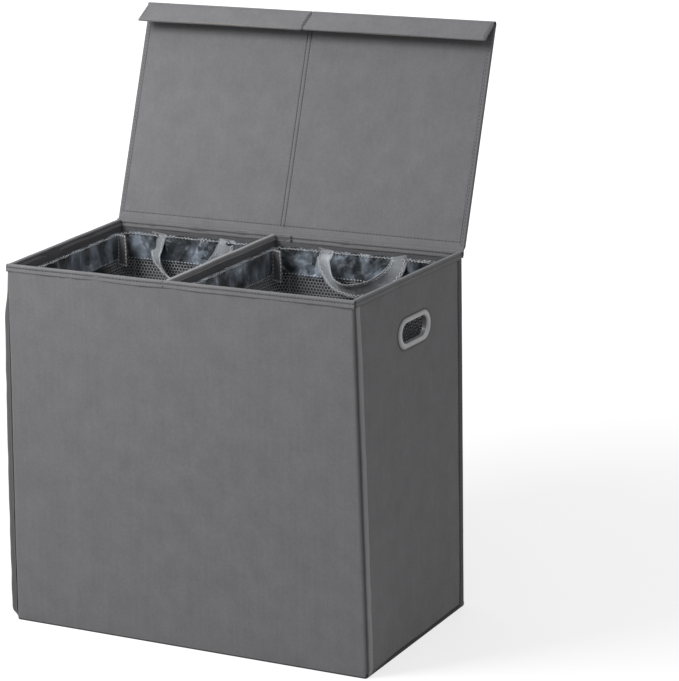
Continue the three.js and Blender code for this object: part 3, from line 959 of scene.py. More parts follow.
def base_cloth():
    """The dark base cloth, whose edge turns up round the box's foot; all of it carries painted shade."""
    low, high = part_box("base_cover")
    inset = 1 * MM
    step = 12 * MM
    x = spaced(low.x + inset, high.x - inset, step)[:, None]
    y = spaced(low.y + inset, high.y - inset, step)
    lift = 0.12 * MM * np.clip(1 + waves(grid_of(x, y, 0), 0.05, 61), 0, 2)
    top = grid_of(x, y, high.z - 0.1 * MM)
    bottom = grid_of(x, y, low.z + lift)
    path, at_side = rectangle_path(low.x, high.x, low.y, high.y, 4 * MM, 8 * MM)
    front_height = 1.9 * MM
    height = front_height + (settings("covers").skirt_height - front_height) * at_side
    out = np.array([0.0, 0.55, 0.7, 0.6, 0.15]) * MM
    outward = path[:, None, 2:]
    ring = np.zeros((len(path), len(out), 3))
    ring[..., :2] = path[:, None, :2] + outward * out[:, None]
    ring[..., 2] = low.z + height[:, None] * np.linspace(0, 1, len(out))
    back = ring.copy()
    back[..., :2] -= outward * CLOTH
    points = lean_in(np.concatenate([grid.reshape(-1, 3) for grid in (top, bottom, ring, back)]))
    sheet_faces = layer_faces(*top.shape[:2])
    ring_faces = layer_faces(*ring.shape[:2], around=True) + 2 * top[..., 0].size
    faces = np.concatenate([sheet_faces, ring_faces])
    # Painted shade over the whole base cloth and its turned-up edge.
    piece("base_cover_cloth", points, faces, "base_cover", finish("lining"), np.ones(len(points)))


def rectangle_path(x_low, x_high, y_low, y_high, radius, step):
    """Points round a rounded rectangle as x, y and the outward way, and which lie on a side wall."""
    rows = []
    corners = [
        (x_high - radius, y_low + radius, -90), (x_high - radius, y_high - radius, 0),
        (x_low + radius, y_high - radius, 90), (x_low + radius, y_low + radius, 180),
    ]
    for index, (x, y, angle) in enumerate(corners):
        for turn in np.radians(angle + np.linspace(0, 90, 7)):
            way = (math.cos(turn), math.sin(turn))
            rows.append((x + radius * way[0], y + radius * way[1], *way))
        start = np.array(rows[-1][:2])
        end = np.array(corners[(index + 1) % 4][:2]) + radius * np.array(way)
        count = max(2, int(np.linalg.norm(end - start) / step))
        rows += [(*(start + (end - start) * t), *way) for t in np.linspace(0, 1, count + 1)[1:-1]]
    rows = np.array(rows)
    return rows, smooth(np.abs(rows[:, 2]) * 1.6 - 0.5)


def board_copy(name):
    """A wall's board, leaning with the cloth round it."""
    mesh = frame["nodes"][name].data.copy()
    longest = 60 * MM
    work = bmesh.new()
    work.from_mesh(mesh)
    bmesh.ops.remove_doubles(work, verts=work.verts, dist=0.01 * MM)
    flat = math.radians(1)
    bmesh.ops.dissolve_limit(work, angle_limit=flat, verts=list(work.verts), edges=list(work.edges))
    bmesh.ops.triangulate(work, faces=list(work.faces))
    for _ in range(3):
        long_edges = [edge for edge in work.edges if edge.calc_length() > longest]
        if not long_edges:
            break
        bmesh.ops.subdivide_edges(work, edges=long_edges, cuts=1)
        bmesh.ops.triangulate(work, faces=list(work.faces))
    points = np.array([vertex.co for vertex in work.verts])
    if name in ("front_board", "back_board"):
        clearance = 5 * MM
        points[:, 0] *= 1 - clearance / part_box(name)[1].x
    for vertex, point in zip(work.verts, lean_in(points)):
        vertex.co = point
    turned_out(work, mesh)
    finish_piece(f"{name}_sheet", mesh, name, finish("board"), sharp=30)


# Hems


def hem_profile(near, far, top, height, ridge=1.0):
    """The outer line of a strip folded over an edge, from its foot on one side to its foot on the other."""
    out = np.array([0.35, -0.15, 0.0, 0.45 * ridge, 0.5 * ridge, 0.05, 0.12]) * MM
    up = np.array([0, 1.2, 3.2, 5.6, 7.0, 8.6, 10.2]) * height / 12
    up = top - height + up
    crown = near + (far - near) * np.array([0.2, 0.5, 0.8])
    crown_up = top - np.array([0.25, 0, 0.25]) * MM
    across = np.concatenate([near + out, crown, far - out[::-1]])
    return curve(np.stack([across, np.concatenate([up, crown_up, up[::-1]])], -1), 34).T


def hem_stitches(grid, down, drop, axis):
    """A row of stitches along each face of a folded strip."""
    half = len(down) // 2
    for start, outward in ((0, -1), (half, 1)):
        row = grid[2:-2, start + nearest(down[start : start + half], drop)].copy()
        row[:, axis] -= outward * SUNK
        seam("shell", row)


def hem(name, along_x):
    """One side of the rim's folded strip."""
    hems = settings("hems")
    low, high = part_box(name)
    axis = 1 if along_x else 0
    run = edged(low[1 - axis], high[1 - axis], hems.step, 4 * MM)
    if name == "back_hem":
        reach = 5 * MM
        run = closer(run, hems.notch_x - reach, hems.notch_x + reach, 1.2 * MM)
    run = run[:, None]
    across, level = hem_profile(low[axis], high[axis], high.z, high.z - low.z)
    place = grid_of(run, low[axis], 0)
    seed = sum(map(ord, name))
    rise = hems.waviness * (waves(place, 0.09, seed) - 0.6) + 0.15 * MM * waves(place, 0.02, seed + 1)
    sway = 0.35 * MM * waves(place, 0.07, seed + 2) + 0.12 * MM * waves(place, 0.014, seed + 3)
    down = high.z - level
    foot = smooth(down / (high.z - low.z))
    beside = across + sway * (0.3 + foot)
    upright = np.minimum(level + rise * (0.4 + 0.6 * foot) - 0.05 * MM, high.z)
    grid = grid_of(run, beside, upright) if along_x else grid_of(beside, run, upright)
    # Painted shade along the row of stitches and at the hem's foot, and at the back hem's notch a dark slot of
    # painted shade where its ends meet.
    crease = 0.35 * bell(down - hems.stitch_drop, 0.8 * MM) + 0.6 * smooth((down - 10.6 * MM) / (1.2 * MM))
    if name == "back_hem":
        inside = (np.arange(len(down)) < len(down) // 2) * smooth((down - 0.5 * MM) / (1.5 * MM))
        crease = np.maximum(crease, 1.25 * bell(run - hems.notch_x, 2.4 * MM, 4) * inside)
    cloth(f"{name}_cloth", grid, CLOTH if along_x else -CLOTH, name, finish("cover"), crease)
    hem_stitches(grid, down, hems.stitch_drop, axis)
    if name == "front_hem":
        tick = nearest(run[:, 0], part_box("divider_board")[0].x - 2 * MM)
        seam("shell", grid[tick, 3:13] - (0, SUNK, 0))


def divider_binding():
    """The strip folded over the dividing wall's top edge."""
    low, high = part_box("divider_binding")
    stitch_drop = 6.2 * MM
    run = edged(low.y, high.y, settings("hems").step, 6 * MM)[:, None]
    across, level = hem_profile(low.x, high.x, high.z, high.z - low.z, ridge=0.7)
    place = grid_of(0, run, 0)
    sway = 0.5 * MM * waves(place, 0.1, 71) + 0.2 * MM * waves(place, 0.02, 72)
    rise = 0.5 * MM * (waves(place, 0.12, 73) - 0.7)
    down = high.z - level
    beside = across + sway * (0.5 + smooth(down / (high.z - low.z)))
    grid = grid_of(beside, run, np.minimum(level + rise, high.z))
    # Painted shade along the row of stitches and at the strip's foot.
    crease = 0.45 * bell(down - stitch_drop, 0.9 * MM) + 0.5 * smooth((down - 8.8 * MM) / (1.0 * MM))
    cloth("divider_binding_cloth", grid, -CLOTH, "divider_binding", finish("binding"), crease)
    hem_stitches(grid, down, stitch_drop, 0)


# Hand holes


def stadium(length_half, radius):
    """Points round a slot with round ends."""
    count = 12
    reach = length_half - radius
    turn = np.radians(np.linspace(-90, 90, 2 * count + 1))
    end = np.stack([reach + radius * np.cos(turn), radius * np.sin(turn)], -1)
    top = np.linspace((reach, radius), (-reach, radius), count + 1)[1:-1]
    return np.concatenate([end, top, -end, -top])


def grommet(name, side):
    """A ring's two halves, as shares of the way from hole to rim and mm out from the wall."""
    low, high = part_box(f"{name}_grommet_outer")
    centre = (low + high) / 2
    half = (high - low) / 2
    flange_y = 12 * MM
    flange_z = 8 * MM
    hole = stadium(half.y - flange_y, half.z - flange_z)[:, None]
    rim = stadium(half.y, half.z)[:, None]
    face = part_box("right_cover")[1].x
    wall = (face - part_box("right_lining")[0].x) / MM
    inner = -wall - 2.2
    start = -wall - 0.3
    sections = {
        "outer": [
            (0.0, inner), (0.0, -4.0), (0.0, 0.3), (0.03, 1.6), (0.12, 2.4), (0.26, 2.6), (0.45, 2.2),
            (0.7, 1.9), (0.88, 1.6), (0.97, 1.0), (1.0, 0.35), (0.9, 0.3), (0.5, 0.3), (0.16, 0.3),
            (0.15, -4.0), (0.14, inner),
        ],
        "inner": [
            (0.18, start), (0.5, start), (0.9, start), (0.98, start - 0.3), (1.0, start - 0.9),
            (0.93, start - 1.6), (0.75, start - 1.9), (0.45, start - 2.0), (0.24, start - 1.9),
            (0.18, start - 1.4),
        ],
    }
    for part, section in sections.items():
        across, out = curve([*section, section[0]], 30)[:-1].T
        flat = hole * (1 - across[:, None]) + rim * across[:, None]
        grid = grid_of(side * (face + out * MM), centre.y + flat[..., 0], centre.z + flat[..., 1])
        number = np.arange(grid[..., 0].size).reshape(grid.shape[:2])
        quads = quads_between(np.pad(number, (0, 1), mode="wrap")).reshape(-1, 4)
        # Painted shade inside the ring's barrel and along its outer edge.
        dark = 0.95 * smooth((0.9 - out) / 2.5) * smooth((0.4 - across) / 0.2)
        dark = np.maximum(dark, 0.6 * smooth((across - 0.8) / 0.15))
        node_name = f"{name}_grommet_{part}"
        piece(
            f"{node_name}_ring", lean_in(grid.reshape(-1, 3)), quads, node_name, finish("plastic"),
            np.broadcast_to(dark, number.shape).ravel(), sharp=60,
        )


# Lid


def lid_frame():
    """The lid's hinge and fold, the way up it, the way out of its outer face, and its length."""
    hinge = JOINT_AT["lid_hinge"]
    fold = JOINT_AT["flap_fold"]
    lid_length = np.linalg.norm(fold - hinge)
    up = (fold - hinge) / lid_length
    return hinge, fold, up, np.array([0, up[2], -up[1]]), lid_length


def on_plane(origin, way, face, x, along, out):
    """Points at x, so far along the way and so far out of the face."""
    x, along, out = np.broadcast_arrays(x, along, out)
    spot = origin + along[..., None] * way + out[..., None] * face
    spot[..., 0] = x
    return spot


def on_lid(x, along, out):
    """Points of the lid: x, up from its hinge, and out from its inner face."""
    hinge, _, up, outward, _ = lid_frame()
    return on_plane(hinge, up, outward, x, along, out)


def turned(angle):
    """The way along the flap and out of its face, once it is turned down by the angle."""
    _, _, up, outward, _ = lid_frame()
    way = up * math.cos(angle) - outward * math.sin(angle)
    return way, outward * math.cos(angle) + up * math.sin(angle)


def on_flap(x, along, out):
    """Points of the flap: x, away from its fold, and out from its inner face."""
    return on_plane(lid_frame()[1], *turned(settings("lid").fold), x, along, out)


def crease_line(x, width):
    """1 at the sewn crease, 0 away from it."""
    return bell(x - settings("lid").crease_x, width)


def crease_rows(x, width):
    """1 at the crease's two rows of stitches, 0 away from them."""
    lid = settings("lid")
    return bell(np.abs(x - lid.crease_x) - lid.crease_width / 2, width)


def with_crease(values):
    """Adds closer values round the crease, as a column."""
    centre = settings("lid").crease_x
    side = np.array([1, 2.1, 2.8, 3.5, 4.2, 4.9, 6, 9]) * MM
    far = values[np.abs(values - centre) > 11 * MM]
    return np.sort(np.concatenate([far, centre - side, [centre], centre + side]))[:, None]


def beside_crease():
    """Where the crease's two rows of stitches lie."""
    lid = settings("lid")
    return [lid.crease_x - lid.crease_width / 2, lid.crease_x + lid.crease_width / 2]


def below_fold(along):
    """Where stitches run along the lid: they stop short of its fold."""
    return slice(1, int(np.searchsorted(along, lid_frame()[-1] - 9 * MM)))


def along_lid(step, edge):
    """Places up the lid, from just past its hinge to just short of its fold."""
    return edged(7 * MM, lid_frame()[-1] - 0.5 * MM, step, edge)


def lid_skin(node_name, out_face, facing):
    """The lid's inner or outer cloth, drawn in at the crease."""
    lid = settings("lid")
    lid_length = lid_frame()[-1]
    seam_height = 12 * MM
    half = -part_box(node_name)[0].x
    x = with_crease(edged(-half, half, lid.step, 8 * MM))
    along = along_lid(lid.step, 8 * MM)
    place = grid_of(x, along, 0)
    soft = 0.32 * MM * (waves(place, 0.14, 81 + facing) + 0.5) + 0.1 * MM * waves(place, 0.03, 83)
    beside = smooth(np.abs(x - lid.crease_x) / (40 * MM))
    edges = smooth((half - np.abs(x)) / (20 * MM)) * np.sin(np.pi * along / lid_length) ** 0.5
    pucker = crease_line(x, 9 * MM) * (0.8 + waves(place * (0, 1, 1), 0.02, 84))
    out = soft * edges * (0.3 + 0.7 * beside) - lid.crease_depth * crease_rows(x, 0.9 * MM)
    out = out_face + facing * (out + 0.3 * MM * pucker)
    # Painted shade along the crease's rows of stitches and the seam near the hinge, and painted shade that grows
    # towards the lid's front edge.
    dark = 0.55 * crease_rows(x, 0.8 * MM) + 0.3 * bell(along - seam_height, 1.6 * MM)
    dark = dark + lid.fade * smooth(1.1 * along / lid_length - 0.1)
    cloth(
        f"{node_name}_cloth", on_lid(x, along, out), -CLOTH * facing, node_name, finish("cover"),
        np.clip(dark, 0, 1), lean=False,
    )
    sewn = below_fold(along)
    stitched = out - facing * SUNK
    for wanted in beside_crease():
        column = nearest(x, wanted)
        seam("lid", on_lid(x[column], along[sewn], stitched[column, sewn]), lean=False)
    row = nearest(along, seam_height)
    seam("lid", on_lid(x[:, 0], along[row], stitched[:, row]), lean=False)


def lid_binding(name, side):
    """The strip folded over a side edge of the lid."""
    low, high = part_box(f"lid_{name}_binding")
    outer = max(abs(low.x), abs(high.x))
    along = along_lid(6 * MM, 6 * MM)[:, None]
    lip = 9
    section = [
        (lip, -0.1), (lip * 0.8, -0.35), (lip * 0.5, -0.3), (lip * 0.25, -0.4), (1.2, -0.25),
        (0.25, 0.5), (0, 2.8), (0.25, 5.1), (1.2, 5.85), (lip * 0.25, 6.0),
        (lip * 0.5, 5.9), (lip * 0.8, 5.95), (lip, 5.7),
    ]
    across, out = (curve(section, 33) * MM).T
    lip_shares = across / (lip * MM)
    wander = 0.35 * MM * waves(grid_of(0, along, 0), 0.06, 91 + side)
    x = side * (outer - across - wander * smooth(lip_shares))
    # Painted shade at the binding's inner edge.
    dark = 0.5 * smooth((lip_shares - 0.86) / 0.12)
    cloth(
        f"lid_{name}_binding_cloth", on_lid(x, along, out), -0.8 * MM * side, f"lid_{name}_binding",
        finish("trim"), dark, lean=False,
    )
    sewn = below_fold(along[:, 0])
    half = len(across) // 2
    for start, lift in ((0, 0.15 * MM), (half, -0.15 * MM)):
        column = start + nearest(lip_shares[start : start + half], 0.62)
        seam("lid", on_lid(x[sewn, column], along[sewn, 0], out[column] + lift), lean=False)


def hinge_cloth():
    """The strip that joins the lid to the back hem, and the cloth behind it."""
    low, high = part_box("back_hem")
    hinge = lid_frame()[0]
    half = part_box("lid_hinge_strip")[1].x - 1 * MM
    x = spaced(-half, half, 9 * MM)[:, None]
    inner_path = [
        (low.y + 0.8 * MM, high.z - 0.2 * MM), (low.y + 3 * MM, high.z + 0.3 * MM),
        (hinge[1] - 1.0 * MM, hinge[2] - 0.3 * MM),
        *[on_lid(0.0, t * MM, n * MM)[1:] for t, n in ((2.5, -0.35), (6, -0.45), (9.5, -0.35), (11, -0.1))],
    ]
    outer_path = [
        (high.y + 0.35 * MM, high.z - 8 * MM), (high.y + 0.45 * MM, high.z - 3 * MM),
        (high.y + 0.8 * MM, high.z + 0.6 * MM),
        *[on_lid(0.0, t * MM, n * MM)[1:] for t, n in ((4.5, 5.2), (8, 6.0), (11, 5.9), (13, 5.7))],
    ]
    order = np.arange(18)
    for name, path, thickness, stands_for in (
        ("lid_hinge_strip_cloth", inner_path, THIN_CLOTH, True),
        ("lid_hinge_back_cloth", outer_path, -THIN_CLOTH, False),
    ):
        profile = curve(path, len(order))
        y, z = profile.T
        sway = 0.15 * MM * waves(grid_of(x, 0, z), 0.05, 95) * smooth(order / 6)
        # Painted shade along the strip's fold.
        made = cloth(
            name, grid_of(x, y + sway, z), thickness, "lid_hinge_strip", finish("cover"),
            0.35 * bell(order - 5.5, 1.6), lean=False, rides=False, stands_for=stands_for,
        )
        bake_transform(made)


# Round the flap's cloth: mm along it from the fold, and out from its inner face
FLAP_SECTION = (
    (0.5, 0.3), (4, 0.0), (15, -0.15), (30, -0.1), (40, 0.1), (43.6, 0.7), (45, 2.8), (43.6, 4.9),
    (40, 5.55), (30, 5.8), (15, 5.85), (4, 5.7), (0.5, 5.3),
)


def flap_cloth():
    """The flap's cloth, wrapped round its boards and drawn in at the crease."""
    lid = settings("lid")
    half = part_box("flap_cover")[1].x
    reach = lid.flap_length
    middle = lid.thickness / 2
    x = with_crease(edged(-half, half, lid.step, 5 * MM))
    path = np.array(FLAP_SECTION) * MM
    path[:, 0] *= reach / path[:, 0].max()
    down, rise = curve(path, 40).T
    place = grid_of(x, down, 0)
    end = smooth((half - np.abs(x)) / (4 * MM))
    flat = rise - middle
    tip = smooth(down / reach)
    soft = 0.3 * MM * waves(place, 0.08, 101) * np.sign(flat) * smooth(down / (8 * MM))
    out = middle + (flat + soft) * (0.28 + 0.72 * end) * (1 - 0.42 * crease_line(x, 2.2 * MM))
    out = out + 0.5 * MM * np.sign(x - lid.crease_x) * tip
    edge = 0.9 * MM * waves(place * (1, 0, 0), 0.2, 102) - 1.3 * MM * crease_line(x, 5 * MM)
    along = down + (edge - 0.6 * MM) * smooth(down / reach - 0.2)
    # Painted shade along the crease and at the flap's ends.
    dark = np.clip(crease_line(x, 2 * MM) + 0.3 * (1 - end), 0, 1)
    cloth(
        "flap_cover_cloth", on_flap(x, along, out), 0.8 * MM, "flap_cover", finish("cover"), dark, lean=False
    )
    for rows, sign in ((slice(4, 16), -1), (slice(24, 36), 1)):
        for wanted in (*beside_crease(), -half + 6.5 * MM, half - 6.5 * MM):
            column = nearest(x, wanted)
            line = on_flap(x[column], along[column, rows], out[column, rows] - sign * SUNK)
            seam("flap", line, lean=False)


def fold_cloth():
    """The outer cloth round the lid's top fold, shaped to the flap's set fold angle."""
    lid = settings("lid")
    _, fold, _, _, lid_length = lid_frame()
    half = -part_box("lid_left_binding")[0].x - 0.4 * MM
    x = with_crease(edged(-half, half, 8 * MM, 5 * MM))
    radius = lid.thickness + 0.25 * MM
    before = [on_lid(0.0, lid_length - t * MM, radius) for t in (3.2, 1.6)]
    arc = [fold + radius * turned(angle)[1] for angle in np.linspace(0, lid.fold, 13)]
    after = [on_flap(0.0, t * MM, radius) for t in (1.6, 3.2)]
    profile = np.array([*before, *arc, *after])[:, 1:]
    place = grid_of(x, profile[:, 0], profile[:, 1])
    shrink = 0.10 * crease_line(x, 1.6 * MM) + 0.012 * waves(place, 0.05, 111)
    spread = fold[1:] + (profile - fold[1:]) * (1 - shrink)[..., None]
    # Painted shade along the crease.
    made = cloth(
        "flap_fold_cloth", grid_of(x, spread[..., 0], spread[..., 1]), -THIN_CLOTH, "flap_cover",
        finish("cover"), crease_line(x, 1.3 * MM), lean=False, rides=False, stands_for=False,
    )
    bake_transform(made)


# Liners


def liner_path(name, step, inset=0.0):
    """Points round a liner's outer face with the outward way, how far round each lies, and the whole way."""
    low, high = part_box(f"{name}_liner_cuff")
    path, _ = rectangle_path(
        low.x + inset, high.x - inset, low.y + inset, high.y - inset, 22 * MM - inset, step
    )
    leg = np.linalg.norm(np.roll(path[:, :2], -1, axis=0) - path[:, :2], axis=1)
    return path, np.concatenate([[0], np.cumsum(leg)[:-1]]), leg.sum()


CUFF_SHARES = (0, 0.02, 0.06, 0.12, 0.2, 0.3, 0.4, 0.5, 0.6, 0.7, 0.78, 0.85, 0.9, 0.94, 0.97, 1.0)


def liner_cuff(name):
    """The cuff's crinkled nylon, gathered and sewn at its top edge."""
    liners = settings("liners")
    node_name = f"{name}_liner_cuff"
    low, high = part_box(node_name)
    path, travelled, around = liner_path(name, 3.5 * MM)
    levels = np.array(CUFF_SHARES)
    z = low.z + (high.z - low.z) * levels
    seed = 121 if name == "left" else 131
    place = grid_of(path[:, None, 0], path[:, None, 1], z)
    folds = waves(place * (1, 1, 0.3), 0.05, seed, 40)
    folds = folds + 0.55 * waves(place * (1, 1, 0.7), 0.022, seed + 1, 40)
    folds = np.abs(folds) ** 0.8 * 2 - 0.6
    held = 0.3 + 0.7 * np.sin(np.pi * levels) ** 0.6
    turns = round(around / (8.5 * MM))
    phase = 2 * np.pi * travelled / around * turns + 1.5 * waves(place[:, 0], 0.05, seed + 2)
    phase = phase[:, None]
    top = smooth((levels - 0.86) / 0.14)
    inward = 2.2 * MM + liners.crinkle * folds * held + 0.9 * MM * np.sin(phase) * top
    outward = path[:, None, 2:]
    grid = np.zeros((*inward.shape, 3))
    grid[..., :2] = path[:, None, :2] - outward * inward[..., None]
    grid[..., 2] = z + liners.gather * (np.sin(phase + 0.8) - 1) * top
    # Painted shade at the row of stitches under the top edge and at the cuff's foot.
    crease = 0.35 * bell(levels - 0.9, 0.03) + 0.5 * smooth(1 - levels / 0.04)
    cloth(f"{node_name}_cloth", grid, -CLOTH, node_name, finish("nylon"), crease, around=True)
    for wanted in (0.9, 0.06):
        row = grid[:, nearest(levels, wanted)].copy()
        row[:, :2] -= path[:, 2:] * 0.55 * MM
        seam(f"{name}_liner", np.vstack([row, row[:1]]))
    inside = grid.copy()
    inside[..., :2] -= outward * 1.3 * MM
    zigzag = np.array([inside[i, -2 if i % 2 else -4] for i in range(len(inside))])
    ZIGZAGS.setdefault(f"{name}_liner", []).append(lean_in(zigzag))


def net_inset(name, place, z_share):
    """How far the net hangs in from its frame line."""
    seed = 141 if name == "left" else 151
    folds = waves(place * (1, 1, 0.3), 0.11, seed) + 0.4 * waves(place * (1, 1, 0.5), 0.05, seed + 1)
    held = np.clip(np.sin(np.pi * z_share), 0, 1) ** 0.4
    return 0.8 * MM + settings("liners").slack * (folds + 0.9) * held


def net_faces(rows, columns):
    """Triangles between rows of points that are shifted by half a step in turn."""
    faces = []
    for row in range(rows):
        for i in range(columns):
            a = row * (columns + 1) + i
            b = a + columns + 1
            if row % 2:
                faces += [(a, a + 1, b + 1), (a, b + 1, b)]
            else:
                faces += [(a, a + 1, b), (a + 1, b + 1, b)]
    return faces


def liner_net(name):
    """The net's four walls: the lines between the middles of a mesh of triangles."""
    liners = settings("liners")
    low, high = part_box(f"{name}_liner_net")
    path, travelled, around = liner_path(name, 2.5 * MM, 0.6 * MM)
    loop_travel = np.append(travelled, around)
    loop = np.vstack([path, path[:1]])
    rows = int(round((high.z - low.z) / (liners.mesh_pitch * math.sqrt(3) / 2)))
    levels = np.linspace(low.z - 0.5 * MM, high.z + 0.8 * MM, rows + 1)
    quarter = int(round(around / liners.mesh_pitch / 4))
    for wall in range(4):
        points = []
        for row, z in enumerate(levels):
            where = np.arange(quarter + 1, dtype=float) + wall * quarter
            where[1:-1] += 0.5 * (row % 2) - 0.25
            distance = (where / (4 * quarter) * around) % around
            spot = np.stack([np.interp(distance, loop_travel, column) for column in loop.T], -1)
            place = np.column_stack([spot[:, :2], np.full(len(spot), z)])
            inset = net_inset(name, place, (z - levels[0]) / (levels[-1] - levels[0]))
            place[:, :2] -= spot[:, 2:] * inset[:, None]
            points.append(place)
        mesh = bpy.data.meshes.new("net")
        mesh.from_pydata(lean_in(np.concatenate(points)).tolist(), [], net_faces(rows, quarter))
        mesh = grown(mesh, "net", {"Thread Radius": liners.strand_radius, "Thread": finish("net")})
        finish_piece(
            f"{name}_liner_net_wall_{wall + 1}", mesh, f"{name}_liner_net", finish("net"), sharp=80,
            stands_for=wall == 0,
        )


# Rings of the bag's bottom from its rim to its middle: mm in from the cuff's line, and mm up
BOTTOM_RINGS = (
    (0.4, 30), (0.6, 22), (1.2, 13), (3, 6.5), (7, 3), (13, 1.8), (24, 1.5), (45, 1.4), (75, 1.5),
    (110, 1.6), (130, 1.6), (139, 1.6),
)


def liner_bottom(name):
    """The bag's closed foot: rings that round under to a sagging floor."""
    node_name = f"{name}_liner_bottom"
    low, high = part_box(node_name)
    path = liner_path(name, 8 * MM)[0]
    centre = np.array([(low.x + high.x) / 2, (low.y + high.y) / 2])
    reach = np.array([high.x - low.x, high.y - low.y]) / 2
    thickness = 0.8 * MM
    rim = 4 * MM
    inset, height = np.array(BOTTOM_RINGS).T * MM
    flat = centre + (path[:, None, :2] - centre) * (1 - inset[:, None] / reach)
    grid = grid_of(flat[..., 0], flat[..., 1], low.z + height)
    soft = waves(grid, 0.05, 161) + 0.4 * waves(grid, 0.02, 162)
    grid[..., 2] += 0.8 * MM * (soft + 0.8) * smooth(inset / rim)
    grid[..., :2] -= path[:, None, 2:] * (0.5 * MM * (soft + 0.7) * (inset < rim))[..., None]
    rows, cols = grid.shape[:2]
    back = grid - grid_normals(grid, True) * thickness
    top_centre = grid[:, -1].mean(0)
    bottom_centre = top_centre - (0, 0, thickness)
    points = np.vstack([grid.reshape(-1, 3), back.reshape(-1, 3), top_centre, bottom_centre])
    faces = layer_faces(rows, cols, around=True)
    open_rim = (faces[:, :2] % cols == cols - 1).all(1)
    open_rim[: -2 * rows] = False
    faces = faces[~open_rim].tolist()
    below = rows * cols
    for i in range(rows):
        a = i * cols + cols - 1
        b = (i + 1) % rows * cols + cols - 1
        faces += [[a, b, 2 * below], [b + below, a + below, 2 * below + 1]]
    mesh = solid_mesh(f"{node_name}_cloth", lean_in(points), faces)
    finish_piece(mesh.name, mesh, node_name, finish("nylon"))


# Each back handle's middle line as (across, out from the cuff, up) in mm, and its width's way
HANDLE_LINES = {
    "left": [
        ((-66.5, 1.6, 0.6), (1, 0, 0)),
        ((-67.5, 3.0, -8), (1, 0, 0)),
        ((-70, 6, -24), (0.95, 0.3, 0.0)),
        ((-66, 14, -42), (0.55, 0.8, 0.25)),
        ((-48, 25, -62), (0.25, 0.85, 0.45)),
        ((-20, 33, -77), (0.1, 0.75, 0.65)),
        ((10, 32, -76), (0.0, 0.55, 0.85)),
        ((36, 22, -58), (-0.35, 0.45, 0.8)),
        ((56, 11, -34), (-0.8, 0.4, 0.4)),
        ((65, 4.5, -12), (-1, 0.15, 0.1)),
        ((66.5, 1.6, 0.6), (-1, 0, 0)),
    ],
    "right": [
        ((-66.5, 1.6, 0.6), (1, 0, 0)),
        ((-67.5, 3.0, -7), (1, 0, 0)),
        ((-70, 7, -18), (1, 0.2, 0.0)),
        ((-62, 14, -34), (0.75, 0.55, 0.35)),
        ((-42, 27, -50), (0.4, 0.6, 0.7)),
        ((-14, 35, -58), (0.1, 0.5, 0.86)),
        ((18, 32, -55), (0.0, 0.45, 0.9)),
        ((45, 22, -43), (-0.4, 0.4, 0.82)),
        ((62, 12, -26), (-0.85, 0.35, 0.4)),
        ((68, 4.5, -10), (-1, 0.1, 0.0)),
        ((66.5, 1.6, 0.6), (-1, 0, 0)),
    ],
}


def strap_handle(name, place, mirror):
    """A flat strap that hangs from the cuff's edge in a slack loop."""
    node_name = f"{name}_liner_{place}_handle"
    body = BODY_OF[node_name]
    count = 64
    spots, ways = zip(*HANDLE_LINES[name])
    centre = curve(spots, count) * MM
    width = curve(ways, count)
    tangent = np.gradient(centre, axis=0)
    tangent /= np.linalg.norm(tangent, axis=1)[:, None]
    width -= (width * tangent).sum(1)[:, None] * tangent
    width /= np.linalg.norm(width, axis=1)[:, None]
    face = np.cross(tangent, width)
    border = 12.4 * MM
    inner_border = 8.8 * MM
    half_across = np.array([0, 5, 8.8, 10.6, 12.4, 13.6, 14]) * MM
    half_lip = np.array([0.05, 0, 0.15, 0.45, 0.5, 0.35, 0]) * MM
    across = np.concatenate([-half_across[:0:-1], half_across])
    lip = np.concatenate([half_lip[:0:-1], half_lip])
    seed = 171 if name == "left" else 181
    flat = centre[:, None] + width[:, None] * across[:, None]
    curl = 1.1 * MM * waves(flat, 0.03, seed) + 0.4 * MM * waves(flat, 0.012, seed + 1)
    loose = np.sin(np.pi * np.linspace(0, 1, count))[:, None] ** 0.5
    bow = 2.4 * MM * (1 - (across / across[-1]) ** 2)
    grid = flat + face[:, None] * (lip + (curl + bow) * loose)[..., None]
    grid[..., 1] *= -1
    grid[..., :2] *= mirror
    grid = grid + JOINT_AT[f"{body}_swing"]
    cloth(f"{node_name}_strap", grid, 1.3 * MM, node_name, finish("strap"))
    normals = grid_normals(grid)
    for sign in (-1, 1):
        edge = nearest(across, sign * border)
        inner = nearest(across, sign * inner_border)
        for lift in (0.25 * MM, -1.5 * MM):
            steps = range(2, count - 2)
            line = [grid[i, edge if i % 2 else inner] + normals[i, inner] * lift for i in steps]
            ZIGZAGS.setdefault(body, []).append(lean_in(np.array(line)))


